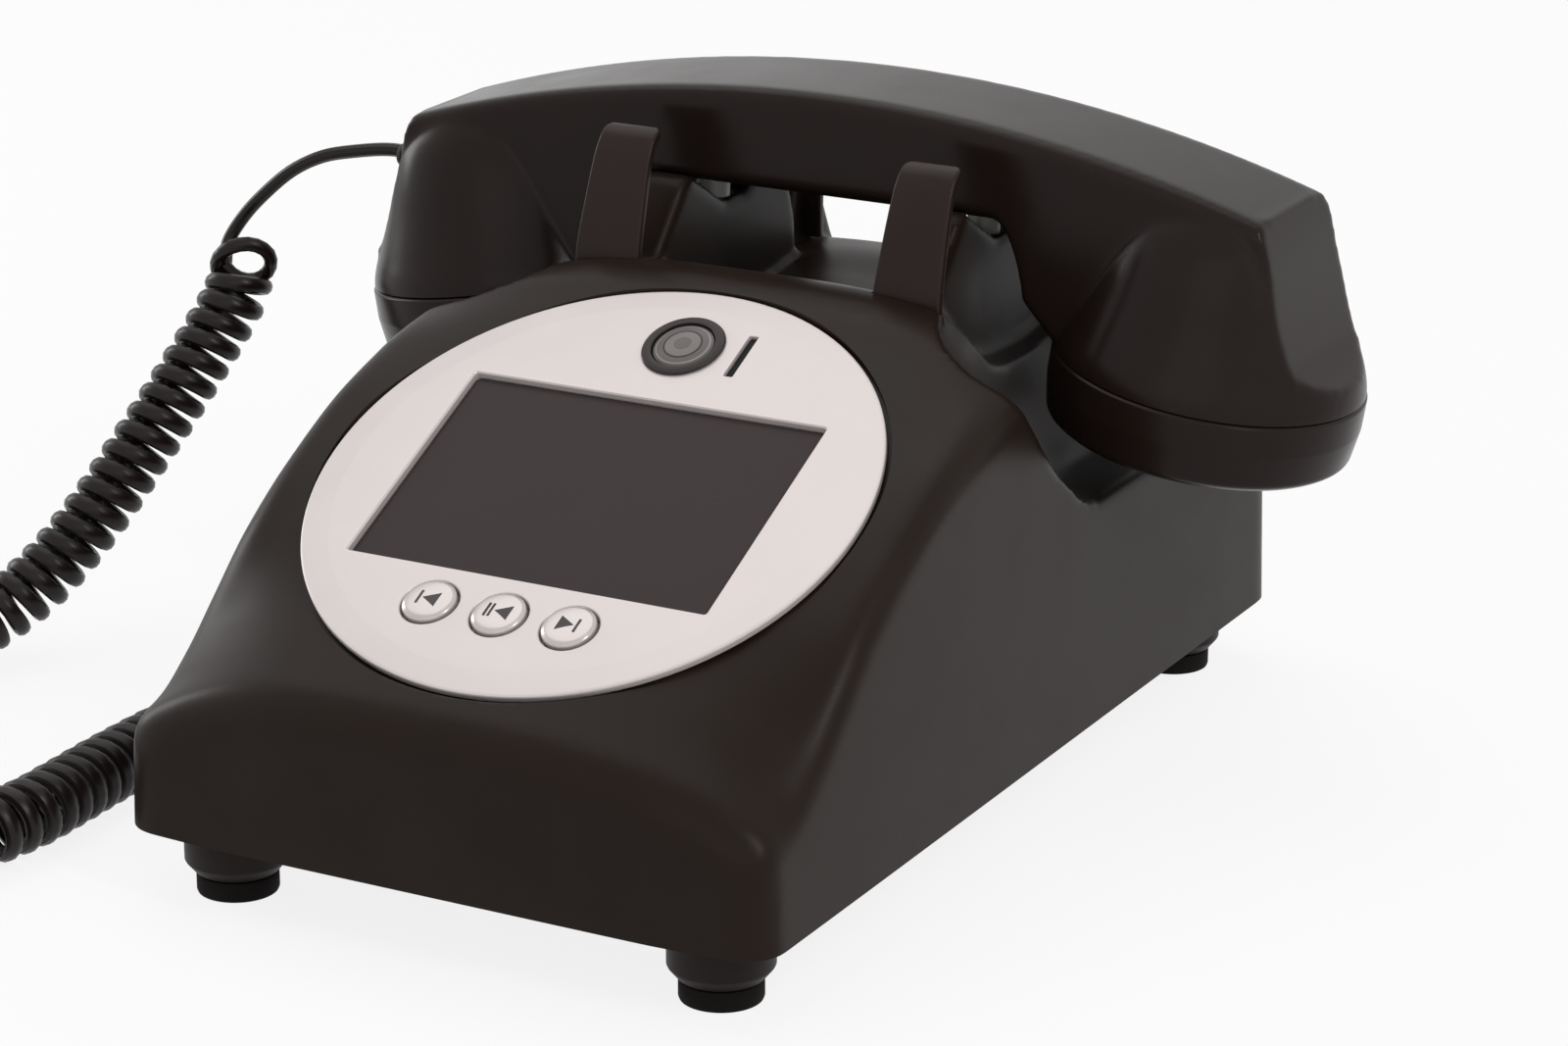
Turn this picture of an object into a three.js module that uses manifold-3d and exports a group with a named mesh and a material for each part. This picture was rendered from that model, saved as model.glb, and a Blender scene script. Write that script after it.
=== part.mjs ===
// Desk telephone that records an audio guest book: a sloped body with a round display face, a cradle
// with four ears, a lift-off handset and its curly cord.
// Millimetres, +Z up, +X to the right of someone who faces the phone, the front looks along -Y.
// The origin is on the table, under the middle of the body.
import * as THREE from "three";
import { mergeVertices } from "three/addons/utils/BufferGeometryUtils.js";
import Module from "manifold-3d";

const wasm = await Module();
wasm.setup();

// Clearances and the overrun of every cut
const seatGap = 0.3;
const slideGap = 0.35;
const overrun = 6;
const mergeDistance = 0.001;
const jointOverlap = 1;

// Body shell
const bodyWidth = 142;
const bodyDepth = 237;
const floorGap = 15;
const wall = 2.6;
const sideDraft = 2.5;
const cornerRadius = 8;
const frontBow = 2.6;
const foldRadius = 7;
const rimRadius = 6;
const frontFlatShare = 0.72;
const rimEaseShare = 0.11;
const apronHeight = 47.5;
const faceAngle = THREE.MathUtils.degToRad(25.7);
const crestFromFront = 128.5;
const crestRound = 20;
const crestRise = 4.585;
const troughDepth = 18.3;
const sillDrop = 14.8;
const rearShoulderDrop = 33.3;
const rearWallHeight = 44;
const screwPillarRadius = 4.2;
const pillarInset = 15;
const pillarFromFront = 34;
const pillarFromRear = 34;

// Cradle
const cradleFromFront = 168;
const saddleInner = 26.5;
const saddleOuter = 37;
const saddleRise = 3.2;
const saddleFloorHalf = 4;
const saddleAngle = THREE.MathUtils.degToRad(31);
const saddleHalfLength = 21.5;
const saddleFootHalf = 34.5;
const saddleRearHalf = 27.5;
const saddleShoulderDrop = 1.3;
const earWidthBase = 15;
const earWidthTip = 12.5;
const earThickness = 2.2;
const earCentre = 34.4;
const earFromCradle = 39.5;
const earLean = 6.7;
const earHook = 5.6;
const earRise = 20.8;
const earHookRise = 5.3;
const earFootDepth = 14;
const earBossWidth = 20;
const earBossDepth = 10;
const plinthInner = 31;
const plinthWidth = 12.5;

// Scoops under the two cups
const deckDepth = 42.8;
const scoopPower = 2.6;
const scoopSpread = 14;
const scoopHalfLength = 67;
const scoopRearHalf = 34.65;
const scoopRearReach = 20.8;
const scoopEndShare = 1.3;

// Round face
const faceRadius = 57.7;
const faceThickness = 2.2;
const faceProud = 0.6;
const faceFromFold = 69.5;
const faceLedge = 6.5;
const faceGroove = 0.9;
const faceBandWidth = 5.6;
const faceBandDrop = 0.35;
const screenWidth = 79;
const screenHeight = 53;
const screenOffset = -1.6;
const windowMargin = 1.6;
const windowCorner = 1;
const windowThickness = 1.2;
const windowRise = 1.1;
const panelMarginX = 1.5;
const panelMarginY = 1.75;
const panelThickness = 4;
const cameraOffset = 40.6;
const bezelRadius = 8.6;
const bezelProud = 0.8;
const bezelCollar = 7;
const lensRadius = 6.2;
const lensCrown = 1.1;
const slotOffset = 12.9;
const slotWidth = 2.1;
const slotLength = 12.2;
const buttonOffset = -37.6;
const buttonPitch = 15.3;
const buttonRadius = 5.5;
const buttonProud = 1.1;
const buttonCrown = 0.7;
const buttonFlange = 1.2;
const buttonFlangeRadius = 6.9;
const buttonTravel = 1;
const buttonStemRadius = 2.4;
const boardDepth = 7.7;
const boardThickness = 1.6;
const boardWidth = 96;
const boardHeight = 47.5;
const boardCorner = 3;
const boardTongueMargin = 3;
const boardScrewShare = 0.7;
const postRadius = 2.6;
const postX = 44.4;
const postY = 12;
const matThickness = 0.8;
const matDome = 1.2;
const matDomeRadius = 3.6;
const matWidth = 46;
const matHeight = 12;
const matCorner = 2;

// Feet and base plate
const footRadius = 8.05;
const footHeight = 4.2;
const footChamfer = 0.7;
const footSpigotRadius = 5.4;
const footSpigotHeight = 3;
const bossRadius = 10.2;
const bossTaperHeight = 2.4;
const footX = 53.7;
const footFromFront = 17.2;
const rearFootFromRear = 17.2;
const plateThickness = 2.6;
const plateLift = 1;
const screwRadius = 1.4;
const screwHeadRadius = 2.8;
const screwHeadHeight = 1.8;
const screwLength = 12;

// Inside the body
const mainBoardSideGap = 2.8;
const mainBoardFromFront = 173.8;
const mainBoardCorner = 2;
const standoffHeight = 5;
const standoffRadius = 3;
const standoffMargin = 4;
const batteryCorner = 3;
const batteryWidth = 72;
const batteryDepth = 38;
const batteryHeight = 20;
const batteryFromFront = 88;
const ballastFromSide = 25;
const ballastDepth = 34;
const ballastThickness = 5;
const ballastFromFront = 48;
const ballastCorner = 2;
const speakerRadius = 20;
const speakerHeight = 9;
const speakerRim = 2;
const speakerDish = 1;
const speakerFromFront = 131;
const speakerSlotWidth = 2.4;
const speakerSlotReach = 0.85;
const speakerSlotShares = [-0.67, -0.335, 0, 0.335, 0.67];
const plungerRadius = 3.4;
const plungerTravel = 4;
const plungerDepth = 33.5;
const plungerTip = 1;
const plungerCollarRadius = 4.6;
const plungerCollarHeight = 2;
const leverPivotBehind = 21.5;
const leverThickness = 3;
const leverOverhang = 3.25;
const leverArmWidth = 9;
const leverPinRadius = 1.5;
const leverHubRadius = 3.4;
const leverPostThickness = 3.5;
const leverPadHalf = 2;
const leverBarWidth = 4;
const leverBarReach = 11;
const leverBarThickness = 4;
const shelfDrop = 19;
const shelfThickness = 3;
const shelfFromLever = 17;
const springRadius = 3.2;
const springWire = 0.8;
const springX = 10;
const switchWidth = 12;
const switchDepth = 6;
const switchHeight = 6.5;
const switchX = -10;
const switchKeyRadius = 1.6;
const usbWidth = 9;
const usbHeight = 3.4;
const usbDepth = 7.4;
const usbWall = 0.5;
const usbX = -22;
const powerX = 18;
const powerSlotWidth = 10;
const powerSlotHeight = 4;
const powerKnobWidth = 5;
const powerKnobProud = 1.6;
const powerDepth = 6;
const jackFromFront = 128;
const jackLift = 0.9;
const jackSize = 11;
const jackDepth = 14;
const jackFlange = 2;
const jackWall = 1.4;
const plugWidth = 7.4;
const plugHeight = 6.4;
const plugBoot = 9;

// Handset
const gripHalfWidth = 17.5;
const gripKeelHalf = 15;
const neckRun = 8.7;
const gripRise = 28.5;
const gripArchRadius = 318;
const gripEdge = 2.4;
const endCornerX = 98.3;
const cupX = 81.6;
const cupFlare = 42;
const seamDrop = 50;
const cupTilt = THREE.MathUtils.degToRad(9.5);
const cupRadius = 32;
const cupHeight = 37;
const cupWall = 4.5;
const cupHollow = 19;
const capDepth = 15;
const capLip = 0.3;
const capFaceRadius = 29.3;
const capFace = 2;
const spigotHeight = 4;
const spigotWall = 2;
const soundHoleRadius = 1.6;
const soundHoleCircle = 9;
const soundHoleCount = 6;
const receiverRadius = 24;
const receiverHeight = 8;
const capsuleRadius = 14;
const capsuleHeight = 9;
const wireChannelRadius = 2.5;
const channelWall = 2.08;
const handsetShift = 1.4;

// Cord
const wireDiameter = 3;
const curlDiameter = 14.9;
const curlCount = 74;
const curlSteps = 7;
const curlSides = 5;
const leadSides = 8;
const upperSteps = 14;
const lowerSteps = 8;
const stepsApart = 3;
const grommetRadius = 4.3;
const grommetLength = 9.5;
const grommetNeck = 2.7;
const grommetDrop = 30.5;
const grommetTail = 2;
const grommetCollar = 1.2;
const grommetRise = 0.15;

// Facets of turned pieces
const discFacets = 40;
const scoopFacets = 20;
const hollowFacets = 12;
const fine = 24;
const medium = 16;
const coarse = 8;

const halfWidth = bodyWidth / 2;
const front = -bodyDepth / 2;
const rear = bodyDepth / 2;
const cradleY = front + cradleFromFront;
const foldPoint = new THREE.Vector2(front, apronHeight);
const crestY = front + crestFromFront;
const faceEndY = crestY - crestRound;
const crestHeight = faceHeight(faceEndY) + crestRise;
const troughHeight = crestHeight - troughDepth;
const sillHeight = crestHeight - sillDrop;
const rearShoulderHeight = crestHeight - rearShoulderDrop;
const deckHeight = crestHeight - deckDepth;
const saddleFloor = crestHeight + saddleRise;
const earTipHeight = saddleFloor + earRise;
const earBendHeight = earTipHeight - earHookRise;
const gripTop = saddleFloor + gripRise;
const cupSeamHeight = gripTop - seamDrop;
const grommetHeight = gripTop - grommetDrop;
const plungerFoot = saddleFloor - plungerDepth;
const shelfTop = plungerFoot - shelfDrop;
const faceCentre = new THREE.Vector3(
  0,
  front + faceFromFold * Math.cos(faceAngle),
  apronHeight + faceFromFold * Math.sin(faceAngle),
);

// Finishes
const finishes = {
  shell: { color: 0x352c2a, roughness: 0.42, metalness: 0 },
  strap: { color: 0x3a3230, roughness: 0.38, metalness: 0 },
  rubber: { color: 0x17130f, roughness: 0.75, metalness: 0 },
  silver: { color: 0xd9d0ce, roughness: 0.35, metalness: 0.35 },
  glass: { color: 0x413636, roughness: 0.12, metalness: 0 },
  lens: { color: 0x7b7573, roughness: 0.05, metalness: 0 },
  button: { color: 0xd8d2d0, roughness: 0.3, metalness: 0.4 },
  board: { color: 0x1f4a34, roughness: 0.55, metalness: 0.1 },
  silicone: { color: 0x9a9894, roughness: 0.8, metalness: 0 },
  steel: { color: 0xb4b4b2, roughness: 0.35, metalness: 0.9 },
  tray: { color: 0x2a2422, roughness: 0.6, metalness: 0 },
  cell: { color: 0x4a6ea8, roughness: 0.5, metalness: 0 },
  cone: { color: 0x222222, roughness: 0.7, metalness: 0 },
  white: { color: 0xd8d8d4, roughness: 0.5, metalness: 0 },
  clear: { color: 0xc8d0d2, roughness: 0.2, metalness: 0 },
  cord: { color: 0x1d1715, roughness: 0.4, metalness: 0 },
};

const phone = new THREE.Group();

function addPiece(name, geometry, finish, parent = phone) {
  const mesh = new THREE.Mesh(geometry, new THREE.MeshStandardMaterial(finishes[finish]));
  mesh.name = name;
  parent.add(mesh);
  return mesh;
}

// Solids and geometries

function bare(geometry) {
  const plain = geometry.index ? geometry.toNonIndexed() : geometry.clone();
  plain.deleteAttribute("normal");
  plain.deleteAttribute("uv");
  return mergeVertices(plain, mergeDistance);
}

function signedVolume(geometry) {
  const p = geometry.attributes.position;
  const index = geometry.index.array;
  const [a, b, c] = [new THREE.Vector3(), new THREE.Vector3(), new THREE.Vector3()];
  let sum = 0;
  for (let i = 0; i < index.length; i += 3) {
    a.fromBufferAttribute(p, index[i]);
    b.fromBufferAttribute(p, index[i + 1]);
    c.fromBufferAttribute(p, index[i + 2]);
    sum += a.dot(b.cross(c)) / 6;
  }
  return sum;
}

// Turns every face of an inside-out geometry round.
function facingOut(geometry) {
  const merged = bare(geometry);
  if (signedVolume(merged) < 0) {
    const index = merged.index.array;
    for (let i = 0; i < index.length; i += 3) [index[i + 1], index[i + 2]] = [index[i + 2], index[i + 1]];
  }
  return merged;
}

function solid(geometry) {
  const merged = facingOut(geometry);
  return new wasm.Manifold(
    new wasm.Mesh({
      numProp: 3,
      vertProperties: merged.attributes.position.array,
      triVerts: new Uint32Array(merged.index.array),
    }),
  );
}

function geometryOf(manifold) {
  const mesh = manifold.getMesh();
  const stride = mesh.numProp;
  const points = new Float32Array(mesh.numVert * 3);
  for (let i = 0; i < mesh.numVert; i++) {
    points.set(mesh.vertProperties.subarray(i * stride, i * stride + 3), i * 3);
  }
  const geometry = new THREE.BufferGeometry();
  geometry.setAttribute("position", new THREE.BufferAttribute(points, 3));
  geometry.setIndex(new THREE.BufferAttribute(new Uint32Array(mesh.triVerts), 1));
  geometry.computeVertexNormals();
  return geometry;
}

function join(first, ...others) {
  return geometryOf(others.reduce((sum, g) => sum.add(solid(g)), solid(first)));
}

function cut(first, ...others) {
  return geometryOf(others.reduce((sum, g) => sum.subtract(solid(g)), solid(first)));
}

function common(first, second) {
  return geometryOf(solid(first).intersect(solid(second)));
}

// A skin over rings of equal count, closed at both ends by a fan.
function loft(rings) {
  const count = rings[0].length;
  const points = [];
  const index = [];
  rings.forEach((ring) => ring.forEach((p) => points.push(p.x, p.y, p.z)));
  for (let r = 0; r + 1 < rings.length; r++) {
    for (let i = 0; i < count; i++) {
      const a = r * count + i;
      const b = r * count + ((i + 1) % count);
      index.push(a, b, b + count, a, b + count, a + count);
    }
  }
  [0, rings.length - 1].forEach((r) => {
    const centre = rings[r].reduce((sum, p) => sum.add(p), new THREE.Vector3()).divideScalar(count);
    const hub = points.length / 3;
    points.push(centre.x, centre.y, centre.z);
    for (let i = 0; i < count; i++) {
      const a = r * count + i;
      const b = r * count + ((i + 1) % count);
      if (r === 0) index.push(hub, b, a);
      else index.push(hub, a, b);
    }
  });
  const geometry = new THREE.BufferGeometry();
  geometry.setAttribute("position", new THREE.Float32BufferAttribute(points, 3));
  geometry.setIndex(index);
  return facingOut(geometry);
}

// A turned piece on the Z axis, from [radius, height] pairs.
function turned(profile, segments = medium) {
  const points = profile.map(([radius, height]) => new THREE.Vector2(radius, height));
  return facingOut(new THREE.LatheGeometry(points, segments).rotateX(Math.PI / 2));
}

function rod(radius, low, high, segments = medium) {
  return turned([[0, low], [radius, low], [radius, high], [0, high]], segments);
}

function tube(outer, inner, low, high, segments = medium) {
  return turned([[inner, low], [outer, low], [outer, high], [inner, high], [inner, low]], segments);
}

function block(x0, x1, y0, y1, z0, z1) {
  const box = new THREE.BoxGeometry(x1 - x0, y1 - y0, z1 - z0);
  return box.translate((x0 + x1) / 2, (y0 + y1) / 2, (z0 + z1) / 2);
}

function roundedShape(width, height, radius, centreX = 0, centreY = 0) {
  const [w, h] = [width / 2, height / 2];
  const shape = new THREE.Shape();
  shape.moveTo(centreX - w + radius, centreY - h);
  shape.lineTo(centreX + w - radius, centreY - h);
  shape.absarc(centreX + w - radius, centreY - h + radius, radius, -Math.PI / 2, 0, false);
  shape.absarc(centreX + w - radius, centreY + h - radius, radius, 0, Math.PI / 2, false);
  shape.absarc(centreX - w + radius, centreY + h - radius, radius, Math.PI / 2, Math.PI, false);
  shape.absarc(centreX - w + radius, centreY - h + radius, radius, Math.PI, Math.PI * 1.5, false);
  return shape;
}

function slab(shape, low, high, curveSegments = 3) {
  const depth = high - low;
  const extruded = new THREE.ExtrudeGeometry(shape, { depth, bevelEnabled: false, curveSegments });
  return extruded.translate(0, 0, low);
}

// A prism along X of an outline given as [y, z] pairs.
function prismX(outline, x0, x1) {
  const shape = new THREE.Shape(outline.map(([y, z]) => new THREE.Vector2(y, z)));
  const extruded = new THREE.ExtrudeGeometry(shape, { depth: x1 - x0, bevelEnabled: false });
  const turn = new THREE.Matrix4().set(0, 0, 1, x0, 1, 0, 0, 0, 0, 1, 0, 0, 0, 0, 0, 1);
  return extruded.applyMatrix4(turn);
}

// A prism along Y of an outline given as [x, z] pairs.
function prismY(outline, y0, y1) {
  const shape = new THREE.Shape(outline.map(([x, z]) => new THREE.Vector2(x, z)));
  const extruded = new THREE.ExtrudeGeometry(shape, { depth: y1 - y0, bevelEnabled: false });
  return extruded.rotateX(Math.PI / 2).translate(0, y1, 0);
}

function mirrored(geometry) {
  return facingOut(geometry.clone().scale(-1, 1, 1));
}

// Body shell

// Height of the middle of the top, from the apron's fold to the rear wall.
const sillY = 2 * cradleY - crestY;
const troughHalf = (sillY - crestY) / 2 - crestRound;

function faceHeight(y) {
  return foldPoint.y + (y - foldPoint.x) * Math.tan(faceAngle);
}

const midlinePoints = [
  [faceEndY, faceHeight(faceEndY)],
  [crestY - crestRound / 3, crestHeight - wall / 3],
  [crestY, crestHeight],
  [crestY + crestRound / 3, crestHeight - wall],
  [cradleY - troughHalf, troughHeight + wall],
  [cradleY, troughHeight],
  [cradleY + troughHalf, (troughHeight + sillHeight) / 2],
  [sillY, sillHeight],
  [sillY + (rear - sillY) / 2, sillHeight - (sillHeight - rearShoulderHeight) / 3],
  [rear - cornerRadius, rearShoulderHeight],
  [rear - cornerRadius / 6, (rearShoulderHeight + rearWallHeight) / 2],
  [rear, rearWallHeight],
];

function between(pairs, at) {
  const last = pairs[pairs.length - 1];
  if (at <= pairs[0][0]) return pairs[0][1];
  if (at >= last[0]) return last[1];
  const k = pairs.findIndex(([x]) => x > at);
  const [x0, v0] = pairs[k - 1];
  const [x1, v1] = pairs[k];
  return v0 + ((v1 - v0) * (at - x0)) / (x1 - x0);
}

function midline(y) {
  return y < faceEndY ? faceHeight(y) : between(midlinePoints, y);
}

// How far the rim lies under the midline: [share of the depth, share of the crest height].
const rimDropShares = [
  [0, 0.09], [0.06, 0.115], [0.1, 0.1], [0.14, 0.07], [0.19, 0.031], [0.25, 0.01], [0.31, 0.004],
  [0.39, 0.023], [0.465, 0.063], [0.54, 0.1], [0.7, 0.12], [0.88, 0.1], [1, 0.06],
];
const crownPower = 3.4;

function rimDrop(y) {
  return between(rimDropShares, (y - front) / bodyDepth) * crestHeight;
}

// Half the body's width at a distance from its front or rear wall.
function planHalf(y, inset) {
  const [edge, bow] = y < cradleY ? [y - front, frontBow] : [rear - y, 0];
  const depth = Math.max(edge - inset - bow, 0);
  const arc = Math.max(cornerRadius - inset, 0);
  const limit = halfWidth - inset;
  if (depth >= arc) return limit;
  const rounded = limit - arc + Math.sqrt(arc * arc - (arc - depth) ** 2);
  const share = bow ? Math.min(Math.max((edge - inset) / bow, 0), 1) : 1;
  return rounded * (frontFlatShare + (1 - frontFlatShare) * Math.sqrt(share));
}

// One cross-section of the body at depth y, drawn in by the wall where inset is not zero.
const crownShares = [1, 0.93, 0.82, 0.66, 0.4, 0.14];
const filletShares = [0.25, 0.6];
const steepestInset = 2;

function bodyRing(y, inset, bottom) {
  const half = planHalf(y, inset);
  const fold = THREE.MathUtils.clamp(y - front - inset, 0, foldRadius);
  const foldDrop = foldRadius - Math.sqrt(foldRadius ** 2 - (foldRadius - fold) ** 2);
  const slope = (midline(y + seatGap) - midline(y - seatGap)) / (2 * seatGap);
  const crown = midline(y) - inset * Math.min(Math.hypot(1, slope), steepestInset) - foldDrop;
  const drop = rimDrop(y);
  const topHalf = half - sideDraft * Math.min((crown - floorGap) / crestHeight, 1);
  const rimTop = crown - drop - rimRadius;
  const side = [new THREE.Vector3(half, y, bottom), new THREE.Vector3(topHalf, y, rimTop)];
  const coarser = (share, i) => inset === 0 || i % 2 === 0;
  filletShares.filter(coarser).forEach((share) => {
    const angle = (share * Math.PI) / 2;
    side.push(
      new THREE.Vector3(
        topHalf - rimRadius * (1 - Math.cos(angle)),
        y,
        rimTop + rimRadius * Math.sin(angle) * (1 - share * share * rimEaseShare),
      ),
    );
  });
  const inner = topHalf - rimRadius;
  crownShares.filter(coarser).forEach((share) => {
    side.push(new THREE.Vector3(inner * share, y, crown - drop * share ** crownPower));
  });
  const other = side.map((p) => new THREE.Vector3(-p.x, p.y, p.z)).reverse();
  return [...side, ...other];
}

const stationShares = [
  0, 0.004, 0.011, 0.02, 0.032, 0.07, 0.12, 0.17, 0.23, 0.31, 0.4, 0.458, 0.51,
  0.5422, 0.572, 0.62, 0.71, 0.8, 0.8755, 0.92, 0.95, 0.972, 0.99, 1,
];

function bodyBlock(inset, bottom) {
  const rings = stationShares
    .filter((share, i) => inset === 0 || i % 2 || share === 0 || share === 1)
    .map((share) => front + inset + share * (bodyDepth - 2 * inset))
    .map((y) => bodyRing(y, inset, bottom));
  return loft(rings);
}

// The scoop beside the neck in superellipse levels that widen upwards from the deck:
// [share of the deck's depth, share of the cheek's spread, share of the half length].
const scoopShares = [
  [0, 1, 0.439], [0.257, 0.679, 0.633], [0.498, 0.429, 0.776], [0.713, 0.25, 0.896], [0.86, 0, 0.97],
];
const scoopLevels = scoopShares.map(([rise, spread, length]) => [
  deckHeight + rise * deckDepth,
  saddleOuter + spread * scoopSpread,
  length * scoopHalfLength,
]);
scoopLevels.push([earTipHeight + overrun, saddleOuter, scoopHalfLength]);

function scoop(grow) {
  const count = grow ? hollowFacets : scoopFacets;
  const endWall = grow * scoopEndShare;
  const rings = scoopLevels.map(([height, cheek, half], level) => {
    const reachX = cupX - cheek + grow;
    const reachFront = half + endWall;
    const reachRear = Math.max(half, scoopRearHalf) + scoopRearReach + endWall;
    const z = level === 0 ? height - grow : height;
    return Array.from({ length: count }, (_, i) => {
      const angle = (i / count) * Math.PI * 2;
      const [c, s] = [Math.cos(angle), Math.sin(angle)];
      const x = Math.sign(c) * Math.abs(c) ** (2 / scoopPower) * reachX;
      const y = Math.sign(s) * Math.abs(s) ** (2 / scoopPower) * (s < 0 ? reachFront : reachRear);
      return new THREE.Vector3(cupX + (c > 0 ? x + overrun * c : x), cradleY + y, z);
    });
  });
  return loft(rings);
}

// One wall of the saddle: a V in which the grip rests.
function saddleWall() {
  const rise = (saddleHalfLength - saddleFloorHalf - wall) * Math.tan(saddleAngle);
  const half = [
    [saddleFloorHalf, saddleFloor],
    [saddleHalfLength - wall, saddleFloor + rise],
    [saddleHalfLength, saddleFloor + rise - saddleShoulderDrop],
  ];
  const outline = [
    ...half.map(([y, z]) => [cradleY + y, z]),
    [cradleY + saddleRearHalf, crestHeight - saddleFloorHalf * 2],
    [cradleY + saddleRearHalf, troughHeight - wall],
    [cradleY - saddleFootHalf, troughHeight - wall],
    [cradleY - saddleFootHalf, crestHeight - saddleFloorHalf],
    ...half.map(([y, z]) => [cradleY - y, z]).reverse(),
  ];
  return prismX(outline, saddleInner, saddleOuter);
}

// The solid foot of a rear ear, beside the finger recess.
const plinthShares = { front: -1.3, brow: -0.5, back: 0.6, rear: 2 };

function rearPlinth() {
  const top = crestHeight - seatGap;
  const y = (place) => rearEarY + plinthShares[place] * earBossDepth;
  const outline = [
    [y("front"), troughHeight - wall],
    [y("brow"), top - wall / 3],
    [rearEarY, top],
    [y("back"), top - wall / 2],
    [y("rear"), rearShoulderHeight + wall],
    [y("rear"), rearShoulderHeight - wall],
  ];
  return prismX(outline, plinthInner, plinthInner + plinthWidth);
}

const faceTurn = new THREE.Matrix4()
  .makeTranslation(faceCentre.x, faceCentre.y, faceCentre.z)
  .multiply(new THREE.Matrix4().makeRotationX(faceAngle));

function onFace(geometry) {
  return geometry.clone().applyMatrix4(faceTurn);
}

function at(geometry, x, y, z) {
  return geometry.clone().translate(x, y, z);
}

const pillarX = halfWidth - pillarInset;
const pillarYs = [front + pillarFromFront, rear - pillarFromRear];
const plateLow = floorGap + plateLift;
const plateTop = plateLow + plateThickness;
const jackHeight = plateTop + jackLift + jackFlange + jackSize / 2;
const plungerX = (saddleInner + saddleOuter) / 2;
const earY = cradleY - earFromCradle;
const skinAtEar = midline(earY) - rimDrop(earY) * (earCentre / halfWidth) ** crownPower;
const rearEarY = 2 * cradleY - earY;

// The middle line of one ear, from its foot inside the shell to the hooked tip: [y, z].
const earLeanShares = [0.45, 0.86, 1.12];
const earTipShares = [0.5, 0.9];
const earPath = [
  [earY, skinAtEar - earFootDepth],
  [earY, skinAtEar],
  [earY + earLean * earLeanShares[0], (skinAtEar + earBendHeight) / 2],
  [earY + earLean * earLeanShares[1], earBendHeight - earThickness],
  [earY + earLean * earLeanShares[2], earBendHeight + earThickness / 2],
  [earY + earLean + earHook * earTipShares[0], earTipHeight - earThickness * earTipShares[1]],
  [earY + earLean + earHook, earTipHeight - earThickness / 2],
];

function ear(grow = 0) {
  const rings = earPath.map(([y, z], i) => {
    const before = earPath[Math.max(i - 1, 0)];
    const after = earPath[Math.min(i + 1, earPath.length - 1)];
    const along = new THREE.Vector2(after[0] - before[0], after[1] - before[1]).normalize();
    const share = Math.max((z - skinAtEar) / (earTipHeight - skinAtEar), 0);
    const half = (earWidthBase + (earWidthTip - earWidthBase) * share) / 2 + grow;
    const t = earThickness / 2 + grow;
    const corner = (sx, sy) =>
      new THREE.Vector3(earCentre + sx * half, y - along.y * t * sy, z + along.x * t * sy);
    return [corner(-1, -1), corner(1, -1), corner(1, 1), corner(-1, 1)];
  });
  return loft(rings);
}

// The same ear behind the handset, turned round.
function rearEar(grow = 0) {
  return facingOut(ear(grow).scale(1, -1, 1).translate(0, 2 * cradleY, 0));
}

function housingShell() {
  const outer = bodyBlock(0, floorGap);
  const saddles = [saddleWall(), mirrored(saddleWall())];
  const scoops = [scoop(0), mirrored(scoop(0))];
  const plinths = [rearPlinth(), mirrored(rearPlinth())];
  const skin = cut(join(outer, ...saddles, ...plinths), ...scoops);
  const hollow = cut(
    bodyBlock(wall, floorGap - overrun),
    scoop(wall),
    mirrored(scoop(wall)),
  );
  const recess = onFace(rod(faceRadius + faceGroove, faceUnder - seatGap, overrun * 3, discFacets));
  const faceHole = onFace(rod(faceRadius - faceLedge, -overrun * 2, overrun, fine));
  const earSlots = [ear(seatGap), rearEar(seatGap)].flatMap((slot) => [slot, mirrored(slot)]);
  const plungerBore = rod(plungerRadius + slideGap, troughHeight - overrun, saddleFloor + overrun, coarse);
  const plungerHole = at(plungerBore, plungerX, cradleY, 0);
  const earBoss = block(
    earCentre - earBossWidth / 2, earCentre + earBossWidth / 2,
    earY - earBossDepth / 2, earY + earBossDepth / 2,
    skinAtEar - earFootDepth - wall, crestHeight,
  );
  const ringOuter = faceRadius + faceGroove + wall;
  const ring = tube(ringOuter, faceRadius - faceLedge, faceUnder - seatGap - wall, faceUnder);
  const inner = [earBoss, mirrored(earBoss), onFace(ring)].map((piece) => common(piece, skin));
  const walls = join(cut(skin, hollow), ...inner);
  let shell = cut(walls, recess, faceHole, ...earSlots, plungerHole, mirrored(plungerHole));
  // Screw pillars hang from the skin and stop just over the base plate.
  pillarYs.forEach((y) => {
    [-pillarX, pillarX].forEach((x) => {
      const post = rod(screwPillarRadius, plateTop + seatGap, crestHeight, coarse);
      const bore = rod(screwRadius + seatGap, floorGap, floorGap + screwLength + overrun, coarse);
      shell = join(shell, common(at(post, x, y, 0), skin));
      shell = cut(shell, at(bore, x, y, 0));
    });
  });
  const usbCut = block(
    usbX - usbWidth / 2 - seatGap, usbX + usbWidth / 2 + seatGap, rear - wall - overrun, rear + overrun,
    usbLow - seatGap, usbLow + usbHeight + seatGap,
  );
  const powerCut = block(
    powerX - powerSlotWidth / 2, powerX + powerSlotWidth / 2, rear - wall - overrun, rear + overrun,
    usbLow, usbLow + powerSlotHeight,
  );
  const jackHalf = jackSize / 2 + seatGap;
  const jackCut = block(
    -halfWidth - overrun, -halfWidth + wall + sideDraft + overrun,
    jackY - jackHalf, jackY + jackHalf, jackHeight - jackHalf, jackHeight + jackHalf,
  );
  return cut(shell, usbCut, powerCut, jackCut);
}

const mainBoardLow = plateTop + standoffHeight;
const usbLow = mainBoardLow + boardThickness + seatGap;
const jackY = front + jackFromFront;

// Base plate with its four foot bosses

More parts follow.
